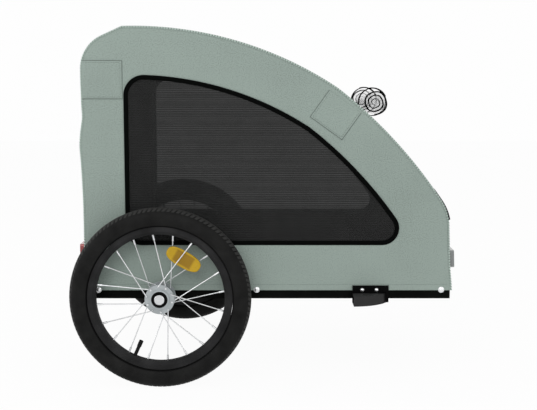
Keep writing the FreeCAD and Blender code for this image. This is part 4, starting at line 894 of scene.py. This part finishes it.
door_across, door_up = with_hem(-DOOR_HALF, DOOR_HALF, 22), with_hem(DOOR_LOW, DOOR_HIGH, 22)
places = [(y, z) for z in door_up for y in door_across]
door = make_piece("RearDoorCloth", [(rear_door_x(y, z), y, z) for y, z in places],
                  grid_faces(len(door_up), len(door_across)), places, [sage_cloth, black_coating], BACKWARDS)
thicken(door, CLOTH)
sewn_half, sewn_low, sewn_high = DOOR_HALF - HEM_STITCH, DOOR_LOW + HEM_STITCH, DOOR_HIGH - HEM_STITCH
corners = [(-sewn_half, sewn_high), (-sewn_half, sewn_low), (sewn_half, sewn_low), (sewn_half, sewn_high)]
door_lines = [[(REAR_X - HEM_LIFT, y, z) for y, z in np.linspace(a, b, 40)]
              for a, b in zip(corners, corners[1:])]
door_stitches = lay_stitches("RearDoorStitches", door_lines, BACKWARDS, sewing_thread)
fit(door, "rear_door", "sage_fabric", "rear_door")
fit(door_stitches, "rear_door", "sage_fabric")
print("rear door", round(surface(door), 3), "m2")

# %% [markdown]
# A zip is two tapes with moulded teeth along their edges. The tape is a low ribbed band beside the door,
# and each tooth is a small block with its corners cut. The sliders are solids of their own and run on the
# tapes.

# %% Zips
ZIP_IN, ZIP_WIDTH, ZIP_PROUD = 202 * MM, 8 * MM, 0.9 * MM
ZIP_PROFILE = [(0, 0), (0.1, 0.8), (0.3, 1), (0.7, 1), (0.9, 0.8), (1, 0)]
TOOTH_PITCH, TOOTH_DEEP, TOOTH_WIDE, TOOTH_HIGH = 2.6 * MM, 0.7 * MM, 2.6 * MM, 1.5 * MM
TOOTH_LAYERS, TOOTH_CORNERS = ((0, 1), (0.7, 1), (1, 0.7)), ((-1, -1), (1, -1), (1, 1), (-1, 1))
tooth_plastic = Finish("ToothPlastic", grey(0.012), 0.42)
tooth_plastic.bump(tooth_plastic.cloud(1200), 0.1 * MM)
tooth_plastic.rough(tooth_plastic.cloud(60), 0.34, 0.5)
levels = np.linspace(DOOR_LOW, DOOR_HIGH, 60)
tooth_levels = np.arange(DOOR_LOW + 2 * MM, DOOR_HIGH - 2 * MM, TOOTH_PITCH)
for side, sign in SIDES.items():
    points = [(REAR_X - ZIP_PROUD * lift, sign * (ZIP_IN + ZIP_WIDTH * share), z)
              for z in levels for share, lift in ZIP_PROFILE]
    zip_tape = make_piece(f"ZipTape_{side}", points, grid_faces(len(levels), len(ZIP_PROFILE)),
                          [(p[1], p[2]) for p in points], [black_tape], BACKWARDS)
    corners, faces, tooth_y = [], [], sign * (ZIP_IN - 0.5 * MM)
    for z in tooth_levels:
        faces += tube_faces(len(TOOTH_LAYERS), len(TOOTH_CORNERS), len(corners))
        corners += [(REAR_X - TOOTH_DEEP * lift, tooth_y + way_y * TOOTH_WIDE / 2 * shrink,
                     z + way_z * TOOTH_HIGH / 2 * shrink)
                    for lift, shrink in TOOTH_LAYERS for way_y, way_z in TOOTH_CORNERS]
    teeth = make_piece(f"ZipTeeth_{side}", corners, faces, [(p[1], p[2]) for p in corners], [tooth_plastic])
    fit(zip_tape, "frame", "black_tape", *(["rear_zips"] if side == "right" else []))
    fit(teeth, "frame", "black_plastic")
    print(zip_tape.name, "teeth", len(tooth_levels))

# %% [markdown]
# The front is a mesh door on the slope. It is one curved sheet of net from the roof seam down to the knee,
# with black tape all round. Places on it are given by how far down the slope they are and how far across,
# so that net and tape share one surface.

# %% Front mesh door
NET_HALF, DOOR_GAP, NET_TUCK, NET_UNDER = 236.2 * MM, 0.8, 4 * MM, 0.6 * MM
AHEAD_AND_UP = Vector((1, 0, 1))
door_edge = trace([(*slope_at(DOOR_TOP_X + DOOR_GAP), SLOPE_ROUND, 48), (*KNEE_TOP, KNEE_ROUND, 9),
                   (*knee_at(DOOR_FOOT_Z + DOOR_GAP), 0, 1)])
door_runs, door_outs = runs_along(door_edge), outward_ways(door_edge)
DOOR_RUN = float(door_runs[-1])


def on_slope(run, y, lift):
    x, z = (np.interp(run, door_runs, door_edge[:, axis]) for axis in (0, 1))
    out_x, out_z = (np.interp(run, door_runs, door_outs[:, axis]) for axis in (0, 1))
    return x + out_x * lift, y, z + out_z * lift


def door_loop(inset):
    """Round the door's edge, drawn in by an inset: down one side, across, up and back."""
    low, high, half = inset, DOOR_RUN - inset, NET_HALF - inset
    turns = [(low, -half), (high, -half), (high, half), (low, half), (low, -half)]
    return [tuple(spot) for a, b, pieces in zip(turns, turns[1:], (60, 40, 60, 40))
            for spot in np.linspace(a, b, pieces, endpoint=False)]


net_runs = np.linspace(NET_TUCK, DOOR_RUN - NET_TUCK, 44)
net_across = np.linspace(NET_TUCK - NET_HALF, NET_HALF - NET_TUCK, 30)
places = [(y, run) for run in net_runs for y in net_across]
front_net = make_piece("FrontNet", [on_slope(run, y, -NET_UNDER) for y, run in places],
                       grid_faces(len(net_runs), len(net_across)), places, [black_net], AHEAD_AND_UP)
rings = [(run, y, inset, lift) for inset, lift in TAPE_RINGS for run, y in door_loop(inset * MM)]
front_tape = make_piece("FrontTape", [on_slope(run, y, lift * MM) for run, y, _, lift in rings],
                        grid_faces(len(TAPE_RINGS), len(rings) // len(TAPE_RINGS), closed=True),
                        [(run + y, inset * MM) for run, y, inset, _ in rings], [black_tape], AHEAD_AND_UP)
fit(front_net, "front_door", "mesh", "front_mesh")
fit(front_tape, "front_door", "black_tape", "front_mesh_binding")
print("front door", round(2 * NET_HALF, 3), "by", round(DOOR_RUN, 3), "m")

# %% [markdown]
# The rain cover is clear film. Glass would bend the light too much, and plain transparency would make the
# film vanish. So it is a pale glossy surface that covers only a share of what lies behind it, and that
# share follows a slow cloud, which gives soft streaks of haze.

# %% Clear film
clear_film = Finish("ClearFilm", (0.93, 0.94, 0.94), 0.12, {"Coat Weight": 0.2, "Coat Roughness": 0.1})
clear_film.feed("Alpha", clear_film.maths("MULTIPLY_ADD", clear_film.cloud(9, 4), 0.5, 0.2))
clear_film.rough(clear_film.cloud(35), 0.06, 0.25)
clear_film.bump(clear_film.cloud(22, 4), 2 * MM, 0.35)
print("film finish", clear_film.material.name)

# %% [markdown]
# The cover is rolled up and strapped on top of the front door. The roll is a true spiral that isn't quite
# round, with a little slack that changes along it. It takes its place and its size from the solids of the
# straps and the roll, and the film is one sheet laid along the spiral.

# %% Clear rain cover, rolled
FILM, STRAP = 1.4 * MM, 1.4 * MM
strap_low, strap_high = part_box("roll_straps")
roll_low, roll_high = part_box("rain_cover_roll")
ROLL_AT = Vector(((strap_low[0] + strap_high[0]) / 2, 0, (strap_low[2] + strap_high[2]) / 2))
STRAP_OUTER, ROLL_HALF = (strap_high[0] - strap_low[0]) / 2, (roll_high[1] - roll_low[1]) / 2
ROLL_RADIUS, ROLL_PITCH, ROLL_TURNS, ROLL_START = STRAP_OUTER - STRAP - FILM, 8 * MM, 3, -1.6
ROLL_SLACK, ROLL_FLAT = 1.6 * MM, 0.05


def on_roll(turn, y, lift=0):
    """A point of the rolled film, and how far it is from the roll's middle."""
    slack = 0.5 + 0.5 * noise.noise(Vector((2 * math.cos(turn), 2 * math.sin(turn), y * 14 + turn * 0.35)))
    flatter = 1 - ROLL_FLAT * math.sin(2 * turn + 0.9)**2
    radius = (ROLL_RADIUS - ROLL_PITCH * turn / math.tau) * flatter - slack * ROLL_SLACK + lift
    way = turn + ROLL_START
    return ROLL_AT + Vector((radius * math.cos(way), y, radius * math.sin(way))), radius


turns, stations = np.linspace(0, math.tau * ROLL_TURNS, 150), np.linspace(-ROLL_HALF, ROLL_HALF, 44)
turn_step = turns[1] - turns[0]
points, flat = [], []
for y in stations:
    run = 0
    for turn in turns:
        point, radius = on_roll(turn, y)
        run += radius * turn_step
        points.append(point)
        flat.append((run, y))
roll = make_piece("RainCoverRoll", points, grid_faces(len(stations), len(turns)), flat, [clear_film],
                  AHEAD_AND_UP)
fit(roll, "front_door", "clear_film", "rain_cover_roll")

# %% [markdown]
# The film's ends are bound with black tape, so the roll's end shows bold dark rings that wind inwards. The
# tape is a band of a flat profile along the same spiral. Its inner turns are pressed together, so it thins
# towards the middle.

# %% Tape on the roll's ends
TAPE_WIDTH, TAPE_THICK, TAPE_THINNING = 9 * MM, 3.2 * MM, 0.85
points, flat, faces = [], [], []
for end in (-1, 1):
    faces += tube_faces(len(turns), 4, len(points))
    run = 0
    for turn in turns:
        half = TAPE_THICK / 2 * (1 - TAPE_THINNING * (turn / turns[-1])**2)
        run += on_roll(turn, 0)[1] * turn_step
        for lift, inset in ((half, 0), (half, TAPE_WIDTH), (-half, TAPE_WIDTH), (-half, 0)):
            points.append(on_roll(turn, end * (ROLL_HALF - inset), lift)[0])
            flat.append((run, inset))
roll_tape = make_piece("RainCoverTape", points, faces, flat, [black_tape])
fit(roll_tape, "front_door", "black_tape")
print(roll_tape.name, "faces", len(roll_tape.data.polygons))

# %% [markdown]
# Two straps of black webbing hold the roll. Each is a ribbed band round it, with its end lapped over and
# pressed down on hook tape. The band is a ring of a flat profile, and the lap is a shorter second layer.

# %% Roll straps
STRAP_Y, STRAP_WIDTH, STRAP_EDGE = 105 * MM, 25 * MM, 0.3 * MM
LAP_START, LAP_SWEEP = 0.4, 1.5
STRAP_LAYERS = ((STRAP_OUTER - STRAP, 0, math.tau, 96), (STRAP_OUTER, LAP_START, LAP_SWEEP, 24))
points, faces, flat = [], [], []
for centre in (-STRAP_Y, STRAP_Y):
    for inner, start, sweep, pieces in STRAP_LAYERS:
        outer = inner + STRAP
        profile = [(inner, -0.5), (outer - STRAP_EDGE, -0.5), (outer, -0.46),
                   (outer, 0.46), (outer - STRAP_EDGE, 0.5), (inner, 0.5)]
        faces += tube_faces(pieces + 1, len(profile), len(points))
        for turn in np.linspace(start, start + sweep, pieces + 1):
            for radius, share in profile:
                across = centre + share * STRAP_WIDTH
                points.append(ROLL_AT + Vector((radius * math.cos(turn), across, radius * math.sin(turn))))
                flat.append((outer * turn, share * STRAP_WIDTH))
straps = make_piece("RollStraps", points, faces, flat, [black_tape])
fit(straps, "front_door", "black_tape", "roll_straps")
print("strap length", round(STRAP_OUTER * (math.tau + LAP_SWEEP), 3), "m each")

# %% [markdown]
# Rubber is dark and dull. The tread is painted lighter, a painted highlight where the light catches it. The
# flat coordinates of a tyre run round the wheel and up the wall from the rim, so the finish can find the
# tread and the dark line at the rim, a painted shade of the gap between tyre and rim. They step back in the
# grooves, which the painted highlight leaves dark.

# %% Tyre rubber
TREAD_HIGHLIGHT_FROM, RIM_GAP_SHADE_HEIGHT, GROOVE_HIGHLIGHT_DROP = 34 * MM, 2.4 * MM, 12 * MM
rubber = Finish("TyreRubber", grey(0.0105), 0.72, {"Specular IOR Level": 0.1})
up_the_wall = rubber.place("Y")
# The tread is painted lighter: a painted highlight.
tread_highlight = rubber.maths("GREATER_THAN", up_the_wall, TREAD_HIGHLIGHT_FROM)
dull = rubber.maths("MULTIPLY_ADD", tread_highlight, 0.7, rubber.maths("MULTIPLY_ADD", rubber.cloud(26, 4), 0.4, 0.33))
# A thin dark band next to the rim: painted shade of the gap between tyre and rim.
rim_gap_shade = rubber.maths("LESS_THAN", up_the_wall, RIM_GAP_SHADE_HEIGHT)
rubber.vary(rubber.maths("SUBTRACT", dull, rim_gap_shade), grey(0.001), (0.035, 0.035, 0.034), 0.38, 1.25)
rubber.rough(rubber.cloud(60), 0.58, 0.78)
rubber.bump(rubber.cloud(700, 3), 0.3 * MM)
print("rubber finish", rubber.material.name)

# %% [markdown]
# A trailer tyre is a plain black rubber ring with a low tread: a smooth middle rib and short slanted bars
# on the shoulders. A profile is turned round the wheel, and points on the tread sink where a groove runs.
# The bars of one shoulder stand half a bar ahead of the other's. Grooves cut into the mesh show in the
# outline of the tyre, which a bump in the material would not.

# %% Tyres
TYRE_RADIUS, TYRE_WIDEST, TYRE_SEAT = 200 * MM, 179.65 * MM, 159.5 * MM
TYRE_HALF, SEAT_HALF, TYRE_STEPS = 23 * MM, 13 * MM, 696
GROOVE, GROOVE_SHARE, TREAD_BARS, BAR_SLANT, HALF_BAR = 1.8 * MM, 0.24, 116, 0.8, 0.027
SHOULDER, RIB_GROOVE, RIB = 0.75, 1.36, 1.44


def tyre_profile():
    """Points across the tyre: how far along the axle, the radius, and the slant on the crown."""
    wall = [(SEAT_HALF + (TYRE_HALF - SEAT_HALF) * math.sin(t),
             TYRE_WIDEST - (TYRE_WIDEST - TYRE_SEAT) * math.cos(t), 0)
            for t in np.linspace(0, math.pi / 2, 8)]
    crown = [(TYRE_HALF * math.cos(t), TYRE_WIDEST + (TYRE_RADIUS - TYRE_WIDEST) * math.sin(t), t)
             for t in np.linspace(0, math.pi / 2, 20)[1:]]
    half = wall + crown
    return half + [(-a, r, t) for a, r, t in half[-2::-1]]


def groove_depth(turn, slant):
    if slant < SHOULDER:
        return 0
    if slant > RIB_GROOVE:
        return 0.5 if slant < RIB else 0
    bar = (turn * TREAD_BARS / math.tau + (slant - SHOULDER) * BAR_SLANT) % 1
    return 1 if bar < GROOVE_SHARE else 0


def round_axle(reach, turn, y):
    return AXLE_X + reach * math.cos(turn), y, AXLE_Z + reach * math.sin(turn)


tyre_section = tyre_profile()
faces = grid_faces(TYRE_STEPS, len(tyre_section), closed=True, looped=True)
for side, sign in SIDES.items():
    points, flat = [], []
    for step in range(TYRE_STEPS):
        turn = math.tau * step / TYRE_STEPS
        for along, radius, slant in tyre_section:
            groove = groove_depth(turn + (HALF_BAR if along < 0 else 0), slant)
            points.append(round_axle(radius - GROOVE * groove, turn, sign * WHEEL_Y + along))
            # Grooves step back in the flat coordinates, out of the tread's painted highlight.
            flat.append((radius * turn, radius - TYRE_SEAT - GROOVE_HIGHLIGHT_DROP * groove))
    tyre = make_piece(f"Tyre_{side}", points, faces, flat, [rubber])
    fit(tyre, f"wheel_{side}", "tyre", f"tyre_{side}")
    print(tyre.name, "faces", len(tyre.data.polygons))

# %% [markdown]
# An amber reflector is clipped between the spokes of each wheel. Its lens has a bright rim and a field of
# small prisms, darker in a block in the middle. The prisms are far smaller than a pixel, so they are a bump
# in the material, and the block is found from the lens's own flat coordinates.

# %% Amber lens finish
BLOCK_LONG, BLOCK_WIDE, PRISM = 24 * MM, 15 * MM, 2.4 * MM
amber = Finish("AmberLens", (0.48, 0.29, 0.01), 0.25,
               {"Specular IOR Level": 0.2, "Coat Weight": 0.1, "Coat Roughness": 0.1})
block_shares = [amber.maths("MULTIPLY", amber.maths("ABSOLUTE", amber.place(axis)), 1 / reach)
                for axis, reach in (("X", BLOCK_LONG), ("Y", BLOCK_WIDE))]
amber.vary(amber.maths("MAXIMUM", *block_shares), (0.32, 0.18, 0.009), (0.53, 0.33, 0.012), 0.8, 1.0)
amber.bump(amber.maths("MAXIMUM", amber.ribs("X", PRISM), amber.ribs("Y", PRISM)), 0.6 * MM, 0.7)
amber.rough(amber.cloud(90), 0.16, 0.3)
print("amber finish", amber.material.name)

# %% [markdown]
# The lens is an oval that is a little squarer than an ellipse. It is made as a stack of rings of that oval,
# each with its share of the size and its depth, so the rim stands up round the field. It sits on the line
# of the spokes at the angle that the photograph shows.

# %% Wheel reflectors
LENS_AT, LENS_TURN, LENS_STEPS = 100 * MM, math.radians(59), 72
LENS_LONG, LENS_WIDE, LENS_THICK, LENS_SQUARE = 82 * MM, 36 * MM, 4 * MM, 2.7
LENS_RINGS = [(0.05, -0.5), (0.9, -0.5), (1, -0.36), (1, 0.3), (0.96, 0.5), (0.89, 0.5), (0.85, 0.34),
              (0.5, 0.4), (0.05, 0.42)]
lens_out = Vector((math.cos(LENS_TURN), 0, math.sin(LENS_TURN)))
lens_way = Vector((math.sin(LENS_TURN), 0, -math.cos(LENS_TURN)))


def oval(turn):
    """A point of the lens outline, between an ellipse and a rectangle."""
    reach = [math.copysign(abs(w) ** (2 / LENS_SQUARE), w) for w in (math.cos(turn), math.sin(turn))]
    return LENS_LONG / 2 * reach[0], LENS_WIDE / 2 * reach[1]


outline = [oval(math.tau * step / LENS_STEPS) for step in range(LENS_STEPS)]
flat = [(u * share, v * share) for share, _ in LENS_RINGS for u, v in outline]
depths = [depth * LENS_THICK for _, depth in LENS_RINGS for _ in outline]
faces = tube_faces(len(LENS_RINGS), LENS_STEPS)
for side, sign in SIDES.items():
    middle = Vector((AXLE_X, sign * WHEEL_Y, AXLE_Z)) + lens_out * LENS_AT
    points = [middle + lens_way * u + lens_out * v + Vector((0, sign * depth, 0))
              for (u, v), depth in zip(flat, depths)]
    lens = make_piece(f"WheelReflector_{side}", points, faces, flat, [amber])
    fit(lens, f"wheel_{side}", "amber", f"wheel_reflector_{side}")
    print(lens.name, "faces", len(lens.data.polygons))

# %% [markdown]
# The rest of the trailer is metal and moulded plastic, and its solids already have the right shape. They
# only need finishes. Painted metal has a fine orange-peel bump and dull patches where hands and straps rub
# it. Bare metal is smoother, with streaks along or around the piece from how it was drawn or turned. The
# tow bracket is painted too, and its lip is rubbed paler, where the tow arm goes in and out.


# %% Finishes for the frame and wheels
def painted(name, colour, gloss, grain):
    paint = Finish(name, colour, gloss, {"Specular IOR Level": 0.025})
    paint.vary(paint.cloud(18, 4), shade(colour, 0.75), shade(colour, 1.5), 0.35, 0.72)
    paint.rough(paint.cloud(34, 4), gloss - 0.1, gloss + 0.14)
    paint.bump(paint.cloud(grain, 2), 0.25 * MM, 0.35)
    return paint


def bare(name, colour, gloss, streak):
    metal = Finish(name, colour, gloss, {"Metallic": 0.9})
    metal.vary(metal.cloud(30, 4), shade(colour, 0.86), shade(colour, 1.1), 0.3, 0.7)
    metal.rough(metal.cloud(55, 3), gloss - 0.08, gloss + 0.12)
    streaks = metal.ribs("Y", streak, cloth=False)
    metal.bump(metal.maths("MULTIPLY_ADD", metal.cloud(500), 0.6, streaks), 0.06 * MM, 0.4)
    return metal


LIP_AT, LIP_BLEND = 290.4 * MM, 12 * MM
powder_black = painted("PowderBlack", (0.0028, 0.003, 0.0028), 0.5, 900)
worn_black = Finish("WornBlack", grey(0.003), 0.5, {"Specular IOR Level": 0.03})
from_middle = worn_black.maths("ABSOLUTE", worn_black.place("Y", cloth=False))
lip_share = worn_black.maths("MULTIPLY_ADD", from_middle, 1 / LIP_BLEND, -LIP_AT / LIP_BLEND)
rubbed = worn_black.maths("MULTIPLY_ADD", worn_black.cloud(60), 0.3, lip_share)
worn_black.vary(rubbed, grey(0.0025), grey(0.035))
worn_black.rough(worn_black.cloud(34, 4), 0.4, 0.64)
worn_black.bump(worn_black.cloud(900, 2), 0.25 * MM, 0.35)
moulded_black = painted("MouldedBlack", grey(0.012), 0.55, 1400)
floor_cloth = painted("FloorCoating", grey(0.018), 0.62, 350)
rim_black = painted("RimSatinBlack", (0.023, 0.023, 0.0235), 0.4, 700)
valve_rubber = painted("ValveRubber", grey(0.013), 0.62, 800)
seal_black = painted("BearingSeal", grey(0.008), 0.5, 700)
satin_alloy = bare("SatinAlloy", (0.5, 0.51, 0.52), 0.38, 2 * MM)
hub_alloy = bare("HubAlloy", (0.4, 0.43, 0.44), 0.4, 0.9 * MM)
drawn_steel = bare("SpokeSteel", (0.72, 0.73, 0.74), 0.28, 0.7 * MM)
bright_zinc = bare("BrightZinc", (0.78, 0.79, 0.8), 0.3, 1.1 * MM)
polished = bare("ButtonChrome", (0.7, 0.71, 0.72), 0.2, 1.6 * MM)
print("finishes", len(bpy.data.materials))

# %% [markdown]
# Under each release button a small spring pushes it out again. It is a coil of wire, so a tube is laid along
# a helix. When the button is pressed the coil has to close up.

# %% Button springs
COIL_TURNS, COIL_STEPS, WIRE = 9, 24, 0.45 * MM
for side, sign in SIDES.items():
    low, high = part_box(f"button_spring_{side}")
    fixed, free = sorted((low[1], high[1]), key=abs)
    reach, length = (high[0] - low[0]) / 2 - WIRE, free - fixed - 2 * sign * WIRE
    helix = [round_axle(reach, math.tau * COIL_TURNS * share, fixed + sign * WIRE + length * share)
             for share in np.linspace(0, 1, COIL_TURNS * COIL_STEPS)]
    coil = lay_tube(f"ButtonSpring_{side}", helix, WIRE, drawn_steel)
    fit(coil, "frame", "spoke_steel", f"button_spring_{side}")
    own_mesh(coil)
    print(coil.name, "turns", COIL_TURNS, "length", round(abs(free - fixed), 4), "m")

# %% [markdown]
# The flat reflectors at the front and the back are moulded lenses over a field of prisms. A lens is glossy
# and coloured all the way through, so the base colour runs between a light and a deep tone in a grid of
# small cubes, and a clear coat gives the hard outer skin.

# %% Finishes for the flat reflectors
CUBE = 3 * MM


def prism_lens(name, light, deep):
    lens_finish = Finish(name, light, 0.16, {"Coat Weight": 0.7, "Coat Roughness": 0.05})
    prisms = lens_finish.maths("MULTIPLY", *(lens_finish.ribs(way, CUBE, cloth=False) for way in "YZ"))
    lens_finish.vary(prisms, deep, light, 0.05, 0.7)
    lens_finish.bump(prisms, 0.7 * MM, 0.6)
    lens_finish.rough(lens_finish.cloud(70), 0.1, 0.24)
    return lens_finish


clear_lens = prism_lens("ClearLens", (0.45, 0.47, 0.46), (0.2, 0.21, 0.21))
red_lens = prism_lens("RedLens", (0.62, 0.05, 0.048), (0.3, 0.02, 0.02))
print("lens finishes", clear_lens.material.name, red_lens.material.name)

# %% [markdown]
# Each solid gets its finish by name. Left and right pieces share one, so the table is written without the
# side, and the loop tries the plain name and both sides.

# %% Dress the solids
DRESS = {
    powder_black: ["base_rail", "base_front_rail", "base_rear_rail", "axle_tube"],
    worn_black: ["tow_bracket"],
    moulded_black: ["rail_end_caps", "crossbar_plugs", "hoop_feet", "zip_slider"],
    floor_cloth: ["floor_board"],
    satin_alloy: ["side_hoop", "rear_crossbar", "front_crossbar"],
    rim_black: ["rim"],
    hub_alloy: ["hub_shell"],
    drawn_steel: ["spokes"],
    valve_rubber: ["inner_tube"],
    seal_black: ["hub_bearings"],
    bright_zinc: ["cover_bolts", "bracket_bolts", "axle", "axle_nuts"],
    polished: ["release_button"],
    clear_lens: ["front_reflectors"],
    red_lens: ["rear_reflectors"],
}
dressed = 0
for finish, names in DRESS.items():
    for name in names:
        for node in (name, f"{name}_right", f"{name}_left"):
            solid = frame["nodes"].get(node)
            if solid is None:
                continue
            for place in solid.material_slots:
                place.material = finish.material
            dressed += 1
print("dressed solids", dressed)
